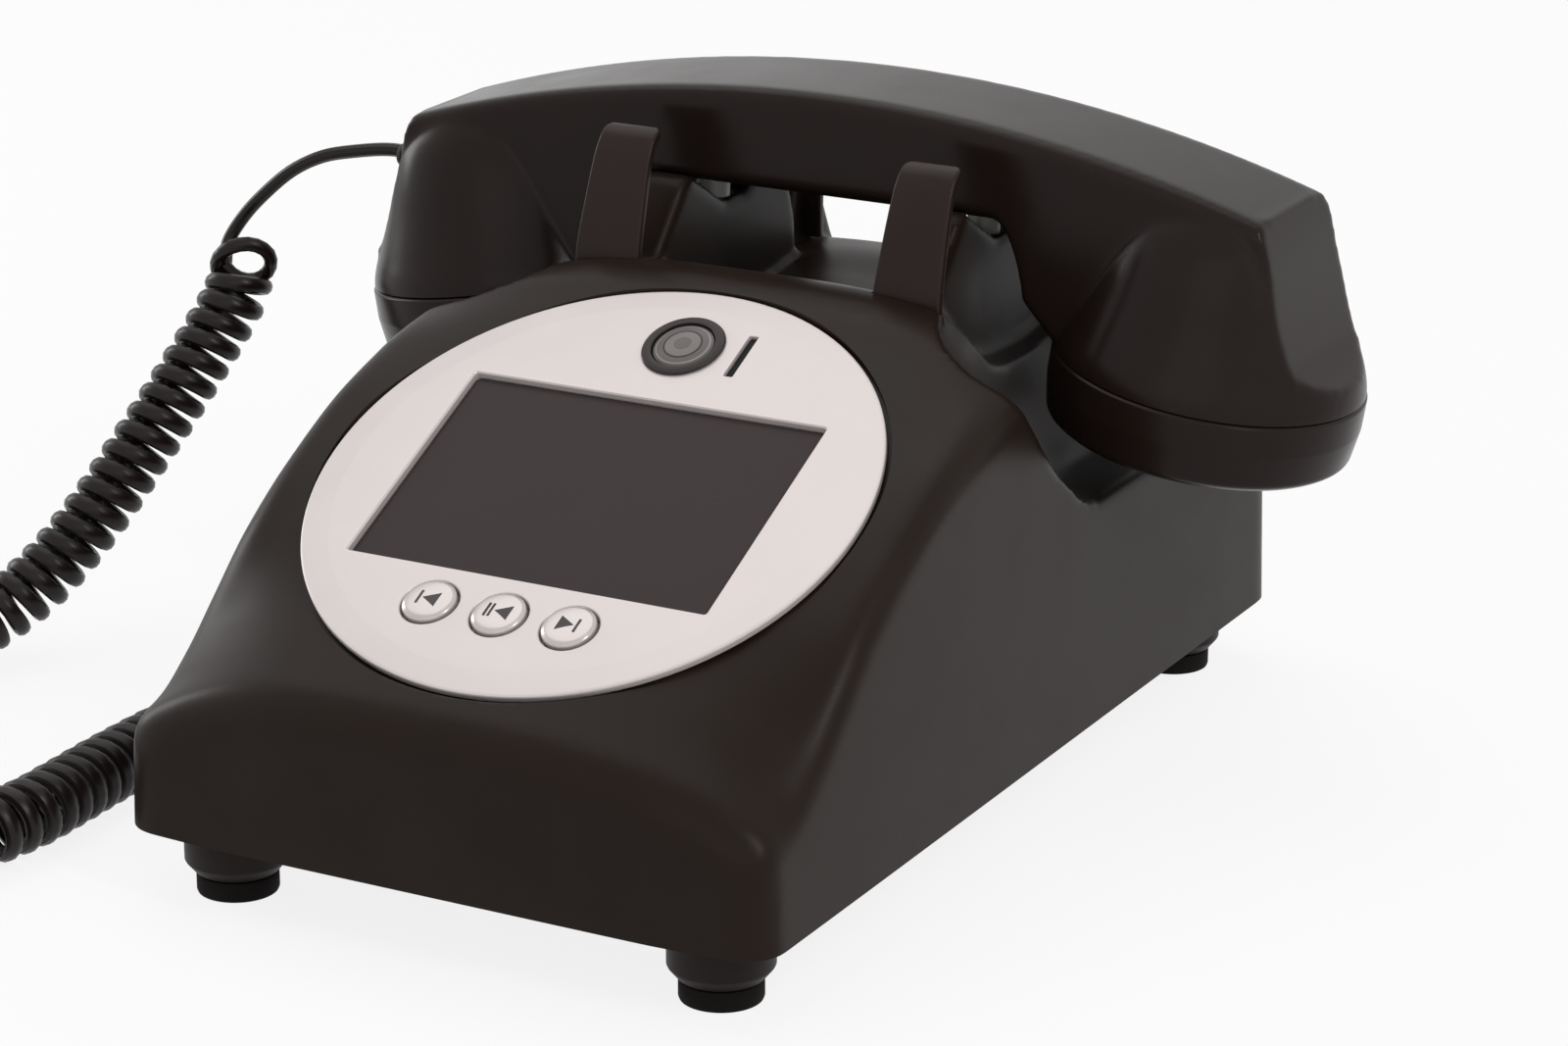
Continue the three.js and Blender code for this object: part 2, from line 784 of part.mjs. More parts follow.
const footPlaces = {
  front_left: [-footX, front + footFromFront],
  front_right: [footX, front + footFromFront],
  rear_left: [-footX, rear - rearFootFromRear],
  rear_right: [footX, rear - rearFootFromRear],
};
const casePlaces = {
  front_left: [-pillarX, pillarYs[0]],
  front_right: [pillarX, pillarYs[0]],
  rear_left: [-pillarX, pillarYs[1]],
  rear_right: [pillarX, pillarYs[1]],
};
const speakerY = front + speakerFromFront;
const mainBoardRear = rear - wall - seatGap * 2;
const mainBoardDepth = mainBoardRear - front - mainBoardFromFront;
const mainBoardY = mainBoardRear - mainBoardDepth / 2;
const boardHoleY = mainBoardDepth / 2 - standoffMargin;
const leverY = cradleY + leverPivotBehind;
const leverZ = plungerFoot - plungerTravel - leverThickness - seatGap * 4;
const leverHalf = plungerX + leverArmWidth / 2 + leverOverhang;
const leverReach = leverHalf + seatGap;
const mainBoardWidth = 2 * (leverReach - mainBoardSideGap);
const boardHoleX = mainBoardWidth / 2 - standoffMargin;
const shelfFront = leverY - shelfFromLever;

function basePlate() {
  const gap = wall + seatGap + sideDraft / 3;
  const depth = bodyDepth - 2 * gap - frontBow;
  const outline = roundedShape(bodyWidth - 2 * gap, depth, cornerRadius, 0, frontBow / 2);
  const inPlate = plateTop - plateThickness / 2;
  let plate = slab(outline, plateLow, plateTop);
  Object.values(footPlaces).forEach(([x, y]) => {
    const profile = [
      [0, inPlate],
      [bossRadius, inPlate],
      [bossRadius, footHeight + seatGap + bossTaperHeight],
      [footRadius + seatGap, footHeight + seatGap],
      [0, footHeight + seatGap],
    ];
    plate = join(plate, at(turned(profile), x, y, 0));
    const socket = rod(footSpigotRadius + seatGap, 0, footHeight + footSpigotHeight + seatGap);
    plate = cut(plate, at(socket, x, y, 0));
  });
  // Standoffs for the main board, posts for the lever's pin and slots in front of the speaker.
  [-1, 1].forEach((sx) => {
    [-1, 1].forEach((sy) => {
      const standoff = rod(standoffRadius, inPlate, mainBoardLow - seatGap, coarse);
      plate = join(plate, at(standoff, sx * boardHoleX, mainBoardY + sy * boardHoleY, 0));
    });
    const cheeks = [sx * leverReach, sx * (leverReach + leverPostThickness)].sort((a, b) => a - b);
    const [back, lugTop] = [leverY + leverHubRadius, leverZ + leverHubRadius];
    const post = block(...cheeks, shelfFront, back, inPlate, shelfTop);
    const lug = block(...cheeks, leverY - leverHubRadius, back, shelfTop - jointOverlap, lugTop);
    plate = join(plate, post, lug);
  });
  const shelfHalf = leverReach + leverPostThickness / 2;
  const shelfBack = leverY + leverHubRadius;
  plate = join(
    plate,
    block(-shelfHalf, shelfHalf, shelfFront, shelfBack, shelfTop - shelfThickness, shelfTop),
  );
  const pinHole = rod(leverPinRadius + seatGap, -halfWidth, halfWidth, coarse).rotateY(Math.PI / 2);
  plate = cut(plate, at(pinHole, 0, leverY, leverZ));
  Object.values(casePlaces).forEach(([x, y]) => {
    plate = cut(plate, at(rod(screwRadius + seatGap, 0, crestHeight, coarse), x, y, 0));
  });
  const w = speakerSlotWidth / 2;
  speakerSlotShares.forEach((share) => {
    const x = share * speakerRadius;
    const half = speakerRadius * Math.sqrt(speakerSlotReach ** 2 - share ** 2);
    const [low, high] = [plateLow - jointOverlap, plateTop + jointOverlap];
    plate = cut(plate, block(x - w, x + w, speakerY - half, speakerY + half, low, high));
  });
  return plate;
}

function foot() {
  return turned([
    [0, 0],
    [footRadius - footChamfer, 0],
    [footRadius, footChamfer],
    [footRadius, footHeight],
    [footSpigotRadius, footHeight],
    [footSpigotRadius, footHeight + footSpigotHeight],
    [0, footHeight + footSpigotHeight],
  ]);
}

// A pan-head screw that points up, its head's underside at height zero.
function screw(length) {
  return turned(
    [
      [0, -screwHeadHeight],
      [screwHeadRadius, -screwHeadHeight],
      [screwHeadRadius, 0],
      [screwRadius, 0],
      [screwRadius, length],
      [0, length],
    ],
    coarse,
  );
}

// Round face and what it carries, drawn flat: local z is the face's outward normal.

const facePlaneTop = faceProud;
const faceUnder = faceProud - faceThickness;
const windowTop = faceUnder - seatGap;
const windowLow = windowTop - windowThickness;
const panelTop = windowLow - seatGap;
const panelLow = panelTop - panelThickness;
const boardTop = -boardDepth;
const boardLow = boardTop - boardThickness;
const boardCentreY = screenOffset;
const boardScrewRadius = screwRadius * boardScrewShare;

function facePlate() {
  const disc = turned(
    [
      [0, faceUnder],
      [faceRadius - faceBandDrop, faceUnder],
      [faceRadius, faceUnder + faceBandDrop],
      [faceRadius, facePlaneTop - faceBandDrop * 2],
      [faceRadius - faceBandDrop, facePlaneTop - faceBandDrop],
      [faceRadius - faceBandWidth, facePlaneTop],
      [0, facePlaneTop],
    ],
    discFacets,
  );
  const screen = roundedShape(screenWidth, screenHeight, seatGap, 0, screenOffset);
  const opening = slab(screen, faceUnder - overrun, overrun, 1);
  const bezelHole = at(rod(bezelCollar + seatGap, -overrun, overrun), 0, cameraOffset, 0);
  const slotShape = roundedShape(slotWidth, slotLength, seatGap, slotOffset, cameraOffset);
  const slot = slab(slotShape, -overrun, overrun, 1);
  const keyHole = rod(buttonRadius + slideGap, -overrun, overrun);
  const keyHoles = [-1, 0, 1].map((k) => at(keyHole, k * buttonPitch, buttonOffset, 0));
  let plate = cut(disc, opening, bezelHole, slot, ...keyHoles);
  const post = rod(postRadius, boardTop + seatGap, faceUnder + faceThickness / 2, coarse);
  const bore = rod(boardScrewRadius + seatGap, boardTop - overrun, faceUnder - seatGap, coarse);
  [-1, 1].forEach((sx) => {
    [-1, 1].forEach((sy) => {
      const [x, y] = [sx * postX, boardCentreY + sy * postY];
      plate = join(plate, at(post, x, y, 0));
      plate = cut(plate, at(bore, x, y, 0));
    });
  });
  return plate;
}

function cameraBezel() {
  return turned([
    [lensRadius + seatGap, facePlaneTop + seatGap],
    [lensRadius + seatGap, facePlaneTop + bezelProud],
    [bezelRadius - seatGap, facePlaneTop + bezelProud],
    [bezelRadius, facePlaneTop + seatGap],
    [bezelCollar, facePlaneTop + seatGap],
    [bezelCollar, faceUnder - windowThickness],
    [lensRadius - wall / 2, faceUnder - windowThickness],
    [lensRadius - wall / 2, faceUnder - seatGap],
    [lensRadius + seatGap, faceUnder - seatGap],
    [lensRadius + seatGap, facePlaneTop + seatGap],
  ]);
}

// The lens's dome: [share of its radius, share of its crown].
const lensShares = [[1, 0], [0.8, 0.36], [0.5, 0.75], [0, 1]];

function cameraLens() {
  const dome = lensShares.map(([r, h]) => [r * lensRadius, facePlaneTop + h * lensCrown]);
  return turned([[0, faceUnder], [lensRadius, faceUnder], ...dome]);
}

// The button's dome: [share of its radius, share of its crown].
const buttonShares = [[1, 0], [0.72, 0.7], [0, 1]];

function button() {
  const flangeTop = faceUnder - seatGap;
  const flangeLow = flangeTop - buttonFlange;
  const domeLow = facePlaneTop + buttonProud - buttonCrown;
  return turned([
    [0, flangeLow - buttonTravel],
    [buttonStemRadius, flangeLow - buttonTravel],
    [buttonStemRadius, flangeLow],
    [buttonFlangeRadius, flangeLow],
    [buttonFlangeRadius, flangeTop],
    [buttonRadius, flangeTop],
    ...buttonShares.map(([r, h]) => [r * buttonRadius, domeLow + h * buttonCrown]),
  ]);
}

const matDomeShare = 0.6;

function keyMat() {
  const matLow = boardTop + seatGap;
  const outline = roundedShape(matWidth, matHeight, matCorner, 0, buttonOffset);
  const base = slab(outline, matLow, matLow + matThickness);
  const low = matLow + matThickness / 2;
  const high = matLow + matThickness + matDome;
  const domeTop = matDomeRadius * matDomeShare;
  const dome = turned([[0, low], [matDomeRadius, low], [domeTop, high], [0, high]], coarse);
  return join(base, ...[-1, 0, 1].map((k) => at(dome, k * buttonPitch, buttonOffset, 0)));
}

function frontBoard() {
  const [top, low] = [cameraOffset + bezelCollar, buttonOffset - matHeight / 2 - matCorner / 2];
  const wide = roundedShape(boardWidth, boardHeight, boardCorner, 0, boardCentreY);
  const tall = roundedShape(matWidth + 2 * boardTongueMargin, top - low, boardCorner, 0, (top + low) / 2);
  let board = join(slab(wide, boardLow, boardTop, 1), slab(tall, boardLow, boardTop, 1));
  const bore = rod(boardScrewRadius + seatGap, boardLow - overrun, 0, coarse);
  [-1, 1].forEach((sx) => {
    [-1, 1].forEach((sy) => {
      board = cut(board, at(bore, sx * postX, boardCentreY + sy * postY, 0));
    });
  });
  return board;
}

// Handset, drawn in place. Cups are drawn on their own axis: local z runs from the cap to the grip.

const cupMatrices = [1, -1].map((side) =>
  new THREE.Matrix4()
    .makeTranslation(side * cupX, cradleY, cupSeamHeight)
    .multiply(new THREE.Matrix4().makeRotationY(side * cupTilt)),
);

// The grip's lower edges lie on the saddle's flanks and are as steep as these.
const keelClimb = (gripKeelHalf - saddleFloorHalf) * Math.tan(saddleAngle);
const gripBottom = saddleFloor + keelClimb + seatGap / Math.cos(saddleAngle);
const gripSideHeight = gripBottom + (gripHalfWidth - gripKeelHalf) * Math.tan(saddleAngle);

const gripSideShare = 4;
const gripEdgeShare = 0.3;

function archHeight(x) {
  return gripTop - gripArchRadius + Math.sqrt(gripArchRadius ** 2 - x * x);
}

function gripRing(x) {
  const top = archHeight(x);
  const neck = THREE.MathUtils.clamp((Math.abs(x) - neckStart) / neckRun, 0, 1);
  const drop = (gripBottom - cupSeamHeight) * (1 - Math.sqrt(1 - neck * neck));
  const side = Math.min(gripSideHeight, top - gripEdge * gripSideShare) - drop;
  const bottom = gripBottom - drop;
  const half = [
    [0, bottom],
    [gripKeelHalf, bottom],
    [gripHalfWidth, side],
    [gripHalfWidth, top - gripEdge],
    [gripHalfWidth - gripEdge * gripEdgeShare, top - gripEdge * gripEdgeShare],
    [gripHalfWidth - gripEdge, top],
  ];
  const left = half.slice(1).map(([y, z]) => [-y, z]).reverse();
  return [...half, ...left].map(([y, z]) => new THREE.Vector3(x, cradleY + y, z));
}

const neckStart = saddleOuter + gripEdge;
const gripShares = [0, 0.45];
const neckShares = [0, 0.45, 0.75, 0.93, 1];
const endXShares = [0.25, 0.7, 1];
const beamReachShare = 0.8;

function gripBeam() {
  const neckEnd = neckStart + neckRun;
  const reach = cupX + cupRadius * beamReachShare;
  const half = [
    ...gripShares.map((share) => share * neckStart),
    ...neckShares.map((share) => neckStart + share * neckRun),
    ...endXShares.map((share) => neckEnd + share * (reach - neckEnd)),
  ];
  const xs = [...half.slice(1).reverse().map((x) => -x), ...half];
  return loft(xs.map(gripRing));
}

// Room that the beam may fill beside a cup, widening upwards from the seam.
function beamLimit() {
  return turned([
    [0, -cupHeight],
    [cupRadius, -cupHeight],
    [cupRadius, 0],
    [cupHeight * 2, cupHeight],
    [0, cupHeight * 3],
  ]);
}

// Cup outside: [share of the cup's height, share of its radius].
const cupShares = [[0, 1], [0.17, 0.94], [0.4, 0.845], [0.62, 0.765], [0.82, 0.67], [1, 0.5]];

function cup() {
  const profile = cupShares.map(([h, r]) => [r * cupRadius, h * cupHeight]);
  return turned([[0, 0], ...profile, [0, cupHeight]], fine);
}

// The hollow's taper: [share of its height, share of the cup's radius].
const hollowShares = [[0.64, 0.76], [1, 0.54]];

function cupInside() {
  const taper = hollowShares.map(([h, r]) => [r * cupRadius - cupWall, h * cupHollow]);
  return turned(
    [
      [0, -overrun],
      [cupRadius - cupWall, -overrun],
      [cupRadius - cupWall, spigotHeight + jointOverlap],
      ...taper,
      [0, cupHollow],
    ],
    fine,
  );
}

// What lies past the handset's end face, as [share of the end's depth, share of its height].
const endShares = [
  [-0.05, -0.5], [0, 0], [0.12, 0.16], [0.255, 0.45], [0.386, 0.68], [0.58, 0.88], [1.1, 1.06],
  [3, 1.06], [3, -0.5],
];

function endTrim() {
  const depth = cupX + cupRadius - endCornerX;
  const corner = archHeight(endCornerX);
  const height = corner - cupSeamHeight;
  const outline = endShares.map(([dx, dz]) => [endCornerX + dx * depth, corner - dz * height]);
  return prismY(outline, cradleY - cupRadius - overrun, cradleY + cupRadius + overrun);
}

// Distance of the end face from the middle at a height between the corner and the seam.
function endFace(height) {
  const depth = cupX + cupRadius - endCornerX;
  const drop = archHeight(endCornerX) - cupSeamHeight;
  const share = (archHeight(endCornerX) - height) / drop;
  return endCornerX + depth * between(endShares.slice(1, -2).map(([dx, dz]) => [dz, dx]), share);
}

function handsetShell() {
  const cups = cupMatrices.map((m) => cup().applyMatrix4(m));
  const hollows = cupMatrices.map((m) => cupInside().applyMatrix4(m));
  const channelZ = gripBottom + wireChannelRadius + channelWall;
  const ductTop = (channelZ - cupSeamHeight) / Math.cos(cupTilt);
  const duct = rod(wireChannelRadius, cupHollow - jointOverlap, ductTop, coarse);
  const ducts = cupMatrices.map((m) => duct.clone().applyMatrix4(m));
  const channelHalf = cupX + ductTop * Math.sin(cupTilt);
  const channel = rod(wireChannelRadius, -channelHalf, channelHalf, coarse).rotateY(Math.PI / 2);
  const trims = [endTrim(), mirrored(endTrim())];
  const bridge = block(
    -cupX, cupX, cradleY - cupRadius, cradleY + cupRadius, gripBottom - gripEdge, gripTop + overrun,
  );
  const limits = cupMatrices.map((m) => beamLimit().applyMatrix4(m));
  const beam = common(gripBeam(), join(bridge, ...limits));
  const body = cut(join(beam, ...cups), ...trims);
  const grommetHole = grommetPlaced(rod(grommetNeck + seatGap, -grommetLength - overrun, overrun, coarse));
  const wires = [...ducts, at(channel, 0, cradleY, channelZ), grommetHole];
  return cut(body, ...hollows, ...wires, ...belowSeams());
}

// Everything under the two seam planes.
function belowSeams() {
  const under = block(-cupFlare, cupFlare, -cupFlare, cupFlare, -cupRadius, 0);
  return cupMatrices.map((m) => under.clone().applyMatrix4(m));
}

const capBellyShare = 0.45;

function cap(holes) {
  const belly = (cupRadius - capFaceRadius) * capBellyShare;
  const spigotRadius = cupRadius - cupWall - slideGap;
  const profile = [
    [0, -capDepth],
    [capFaceRadius, -capDepth],
    [cupRadius - capLip * 3, -capDepth + belly],
    [cupRadius + capLip, -capDepth * capBellyShare],
    [cupRadius + capLip, -seatGap - capLip],
    [cupRadius - capLip, -seatGap],
    [spigotRadius, -seatGap],
    [spigotRadius, spigotHeight],
    [spigotRadius - spigotWall, spigotHeight],
    [spigotRadius - spigotWall, -capDepth + capFace + wall],
    [receiverRadius + slideGap, -capDepth + capFace],
    [0, -capDepth + capFace],
  ];
  let piece = turned(profile, fine);
  const places = [[0, 0]];
  for (let i = 0; i < holes; i++) {
    const angle = (i / holes) * Math.PI * 2;
    places.push([Math.cos(angle) * soundHoleCircle, Math.sin(angle) * soundHoleCircle]);
  }
  const hole = rod(soundHoleRadius, -capDepth - overrun, -capDepth + capFace + jointOverlap, coarse);
  places.forEach(([x, y]) => {
    piece = cut(piece, at(hole, x, y, 0));
  });
  return piece;
}

const receiverShare = 0.7;

function receiver() {
  const low = -capDepth + capFace + seatGap;
  const high = low + receiverHeight;
  return turned(
    [[0, low], [receiverRadius, low], [receiverRadius * receiverShare, high], [0, high]],
    hollowFacets,
  );
}

function capsule() {
  const low = -capDepth + capFace + seatGap;
  return turned(
    [[0, low], [capsuleRadius, low], [capsuleRadius, low + capsuleHeight], [0, low + capsuleHeight]],
    hollowFacets,
  );
}

// Keeps the small capsule in the middle of the wide cap.
function capsuleHolder() {
  const low = -capDepth + capFace + seatGap;
  return tube(receiverRadius, capsuleRadius + seatGap, low, low + capsuleHeight / 2, hollowFacets);
}

// The grommet sits on the left end face; its local z points out of the handset.
const grommetMatrix = new THREE.Matrix4()
  .makeTranslation(-endFace(grommetHeight), cradleY, grommetHeight)
  .multiply(new THREE.Matrix4().makeRotationY(grommetRise - Math.PI / 2));

function grommetPlaced(geometry) {
  return geometry.applyMatrix4(grommetMatrix);
}

const grommetTipShare = 0.9;

function grommet() {
  const inner = wireDiameter / 2 + seatGap;
  const tail = -cupWall - grommetTail;
  return turned(
    [
      [inner, tail],
      [grommetNeck, tail],
      [grommetNeck, grommetCollar],
      [grommetRadius, grommetCollar],
      [grommetRadius, grommetLength / 2],
      [grommetNeck * grommetTipShare, grommetLength],
      [inner, grommetLength],
      [inner, tail],
    ],
    hollowFacets,
  );
}

// Curly cord

// The cord's route, from the grommet down to the table, round and back to the body's left side.
const leadRoute = [
  [-121.4, 49, 106.2], [-129.9, 48, 104.2], [-136.8, 46.5, 100.2], [-142.4, 43.6, 93.4],
];
const curlRoute = [
  [-145.6, 39.8, 82.6], [-146, 36, 74.2], [-148, 31, 66.7], [-151.8, 21.5, 54.8], [-156, 11.5, 42.9],
  [-161.2, 0.5, 29.6], [-167.4, -10.5, 18], [-173.4, -21, 11], [-178.4, -32.5, 8.3], [-181.4, -46, 7.8],
  [-181.8, -61, 7.8], [-179, -77, 7.8], [-173.8, -92, 7.8], [-166.8, -106.5, 7.8], [-158, -121, 7.8],
  [-146.5, -132.5, 7.8], [-131.5, -137, 7.8], [-116.5, -133, 7.8], [-105.5, -122, 7.8], [-101.4, -107, 7.8],
  [-101.3, -93, 7.8], [-101.8, -80, 7.8], [-101.8, -66, 7.8], [-101.4, -52, 7.9], [-100.6, -38, 9],
  [-99, -25, 12],
];
const tailRoute = [[-97, -15.5, 15.7], [-94.8, -5.5, 20.5], [-91.6, 4, 25]];

function curveThrough(points) {
  const places = points.map((p) => new THREE.Vector3(...p));
  return new THREE.CatmullRomCurve3(places, false, "catmullrom");
}

function leadTube(points, steps) {
  const section = new THREE.Shape();
  for (let i = 0; i < leadSides; i++) {
    const angle = (i / leadSides) * Math.PI * 2;
    const [x, y] = [(Math.cos(angle) * wireDiameter) / 2, (Math.sin(angle) * wireDiameter) / 2];
    if (i) section.lineTo(x, y);
    else section.moveTo(x, y);
  }
  const path = curveThrough(points);
  return new THREE.ExtrudeGeometry(section, { steps, bevelEnabled: false, extrudePath: path });
}

// Points of the curl's wire: a helix round the route that runs in from, and out to, the route itself.
function curlPoints() {
  const axis = curveThrough(curlRoute);
  const length = axis.getLength();
  const straight = wireDiameter / length;
  const total = curlCount * curlSteps;
  const frames = axis.computeFrenetFrames(total, false);
  const radius = (curlDiameter - wireDiameter) / 2;
  const points = [axis.getPointAt(0)];
  for (let i = 0; i <= total; i++) {
    const share = straight + (i / total) * (1 - 2 * straight);
    const ease = Math.min(1, i / (curlSteps - 1), (total - i) / (curlSteps - 1));
    const reach = radius * ease * ease * (3 - 2 * ease);
    const angle = (i / curlSteps) * Math.PI * 2;
    const k = Math.round(share * total);
    const p = axis.getPointAt(share);
    p.addScaledVector(frames.normals[k], Math.cos(angle) * reach);
    p.addScaledVector(frames.binormals[k], Math.sin(angle) * reach);
    points.push(p);
  }
  points.push(axis.getPointAt(1));
  return points;
}

// A tube of a few sides along points, its section carried on from step to step.
function wireTube(points, sides, diameter) {
  const tangents = points.map((p, i) => {
    const after = points[Math.min(i + 1, points.length - 1)];
    return after.clone().sub(points[Math.max(i - 1, 0)]).normalize();
  });
  const normal = new THREE.Vector3(0, 1, 0).cross(tangents[0]).normalize();
  const rings = points.map((p, i) => {
    if (i) normal.addScaledVector(tangents[i], -normal.dot(tangents[i])).normalize();
    const side = new THREE.Vector3().crossVectors(tangents[i], normal);
    return Array.from({ length: sides }, (_, k) => {
      const angle = (k / sides) * Math.PI * 2;
      return p
        .clone()
        .addScaledVector(normal, (Math.cos(angle) * diameter) / 2)
        .addScaledVector(side, (Math.sin(angle) * diameter) / 2);
    });
  });
  return loft(rings);
}

// The straight leads run one diameter square to what they meet at both ends.
const leadStartShare = 0.4;
const bootShare = 0.45;

function upperLead() {
  const places = [grommetLength * leadStartShare, grommetLength, grommetLength + wireDiameter];
  const inGrommet = places.map((z) => {
    const place = new THREE.Vector3(0, 0, z).applyMatrix4(grommetMatrix);
    return place.setX(place.x + handsetShift).toArray();
  });
  const axis = curveThrough(curlRoute);
  const [start, along] = [axis.getPointAt(0), axis.getTangentAt(0)];
  const meet = [seatGap + wireDiameter, seatGap].map((back) =>
    start.clone().addScaledVector(along, -back).toArray(),
  );
  return [...inGrommet, ...leadRoute, ...meet];
}

function lowerLead() {
  const axis = curveThrough(curlRoute);
  const [end, along] = [axis.getPointAt(1), axis.getTangentAt(1)];
  const meet = [seatGap, seatGap + wireDiameter].map((on) =>
    end.clone().addScaledVector(along, on).toArray(),
  );
  const inBoot = [plugBoot + wireDiameter, plugBoot, plugBoot * bootShare].map((back) => [
    bootFace - back, jackY, jackHeight,
  ]);
  return [...meet, ...tailRoute, ...inBoot];
}

// Least distance between the surfaces of two turns, measured between the points of the wire.
function leastGap(points, diameter) {
  let least = Infinity;
  const apart = Math.ceil(curlSteps / 2);
  for (let i = 0; i < points.length; i++) {
    for (let j = i + apart; j < Math.min(points.length, i + curlSteps * stepsApart); j++) {
      const a = new THREE.Line3(points[j], points[Math.min(j + 1, points.length - 1)]);
      const nearest = a.closestPointToPoint(points[i], true, new THREE.Vector3());
      least = Math.min(least, nearest.distanceTo(points[i]) - diameter);
    }
  }
  return least;
}

// Assembly

addPiece("housing_shell", housingShell(), "shell");
addPiece("base_plate", basePlate(), "tray");
Object.entries(footPlaces).forEach(([place, [x, y]]) => {
  addPiece("foot_" + place, foot(), "rubber").position.set(x, y, 0);
});
Object.entries(casePlaces).forEach(([place, [x, y]]) => {
  addPiece("case_screw_" + place, screw(screwLength), "steel").position.set(x, y, plateLow - seatGap);
});
addPiece("cradle_ear_front_right", ear(), "strap");
addPiece("cradle_ear_front_left", mirrored(ear()), "strap");
addPiece("cradle_ear_rear_right", rearEar(), "strap");
addPiece("cradle_ear_rear_left", mirrored(rearEar()), "strap");

const face = new THREE.Group();
face.position.copy(faceCentre);
face.rotation.x = faceAngle;
phone.add(face);
addPiece("face_plate", facePlate(), "silver", face);
const screenPiece = (marginX, marginY) =>
  roundedShape(screenWidth + 2 * marginX, screenHeight + 2 * marginY, windowCorner, 0, screenOffset);
const windowShape = screenPiece(windowMargin, windowMargin);
const windowRim = slab(windowShape, windowLow, windowTop, 1);
const windowPane = slab(screenPiece(-seatGap, -seatGap), windowLow, windowTop + windowRise, 1);
addPiece("display_window", join(windowRim, windowPane), "glass", face);
const panelShape = screenPiece(panelMarginX, panelMarginY);
addPiece("display_panel", slab(panelShape, panelLow, panelTop, 1), "cone", face);
addPiece("camera_bezel", cameraBezel(), "glass", face).position.y = cameraOffset;
addPiece("camera_lens", cameraLens(), "lens", face).position.y = cameraOffset;
const moduleTop = faceUnder - windowThickness - seatGap;
const module = rod(lensRadius - wall / 2, boardTop + seatGap, moduleTop, coarse);
addPiece("camera_module", module, "cone", face).position.y = cameraOffset;
const [stripWidth, stripLength] = [slotWidth - 2 * seatGap, slotLength - 2 * seatGap];
const strip = roundedShape(stripWidth, stripLength, seatGap, slotOffset, cameraOffset);
addPiece("slot_window", slab(strip, faceUnder - seatGap, facePlaneTop - seatGap * 2, 1), "glass", face);
["previous", "play_pause", "next"].forEach((key, k) => {
  addPiece("button_" + key, button(), "button", face).position.set((k - 1) * buttonPitch, buttonOffset, 0);
});
addPiece("key_mat", keyMat(), "silicone", face);
addPiece("front_board", frontBoard(), "board", face);
let boardScrew = 0;
[-1, 1].forEach((sx) => {
  [-1, 1].forEach((sy) => {
    boardScrew++;
    const small = screw(boardDepth).scale(boardScrewShare, boardScrewShare, boardScrewShare);
    const piece = addPiece("board_screw_" + boardScrew, small, "steel", face);
    piece.position.set(sx * postX, boardCentreY + sy * postY, boardLow - seatGap);
  });
});

const boardShape = roundedShape(mainBoardWidth, mainBoardDepth, mainBoardCorner, 0, mainBoardY);
addPiece("main_board", slab(boardShape, mainBoardLow, mainBoardLow + boardThickness, 1), "board");
const onPlate = plateTop + seatGap;
const batteryShape = roundedShape(batteryWidth, batteryDepth, batteryCorner, 0, front + batteryFromFront);
addPiece("battery_pack", slab(batteryShape, onPlate, onPlate + batteryHeight, 1), "cell");
const ballastWidth = 2 * (halfWidth - ballastFromSide);
const ballastShape = roundedShape(ballastWidth, ballastDepth, ballastCorner, 0, front + ballastFromFront);
addPiece("ballast_plate", slab(ballastShape, onPlate, onPlate + ballastThickness, 1), "steel");

// The speaker's outside: [share of its radius, height over the plate].
const speakerShares = { dish: 0.8, magnet: 0.5 };
const speakerProfile = [
  [0, onPlate + speakerDish],
  [speakerRadius * speakerShares.dish, onPlate],
  [speakerRadius, onPlate],
  [speakerRadius, onPlate + speakerRim],
  [speakerRadius * speakerShares.magnet, onPlate + speakerHeight],
  [0, onPlate + speakerHeight],
];
addPiece("speaker", turned(speakerProfile), "cone").position.set(0, speakerY, 0);

// Hook switch: two plungers under the grip press one lever, and a spring lifts it.
const plungerTop = gripBottom - seatGap;
const plungerProfile = [
  [0, plungerFoot],
  [plungerCollarRadius, plungerFoot],
  [plungerCollarRadius, plungerFoot + plungerCollarHeight],
  [plungerRadius, plungerFoot + plungerCollarHeight],
  [plungerRadius, plungerTop - plungerTip],
  [plungerRadius - plungerTip, plungerTop],
  [0, plungerTop],
];
["left", "right"].forEach((side, k) => {
  const piece = turned(plungerProfile, coarse);
  addPiece("hook_plunger_" + side, piece, "clear").position.set((k ? 1 : -1) * plungerX, cradleY, 0);
});

const leverBarLow = leverZ + seatGap;
const barY = leverY - leverBarReach;
const onLever = (radius, half) =>
  at(rod(radius, -half, half, coarse).rotateY(Math.PI / 2), 0, leverY, leverZ);

function hookLever() {
  const hub = onLever(leverHubRadius, leverHalf);
  const armTop = plungerFoot - seatGap;
  const arms = [-1, 1].map((side) => {
    const outline = [
      [leverY, leverZ - leverThickness / 2],
      [cradleY - leverPadHalf, armTop - leverThickness],
      [cradleY - leverPadHalf, armTop],
      [cradleY + leverPadHalf, armTop],
      [leverY, leverZ + leverThickness],
    ];
    return prismX(outline, side * plungerX - leverArmWidth / 2, side * plungerX + leverArmWidth / 2);
  });
  const bar = block(
    -plungerX, plungerX, barY - leverBarWidth / 2, barY + leverBarWidth / 2,
    leverBarLow, leverBarLow + leverBarThickness,
  );
  return cut(join(hub, bar, ...arms), onLever(leverPinRadius + seatGap, halfWidth));
}

addPiece("hook_lever", hookLever(), "white");
addPiece("hook_pin", onLever(leverPinRadius, leverHalf + leverPostThickness), "steel");

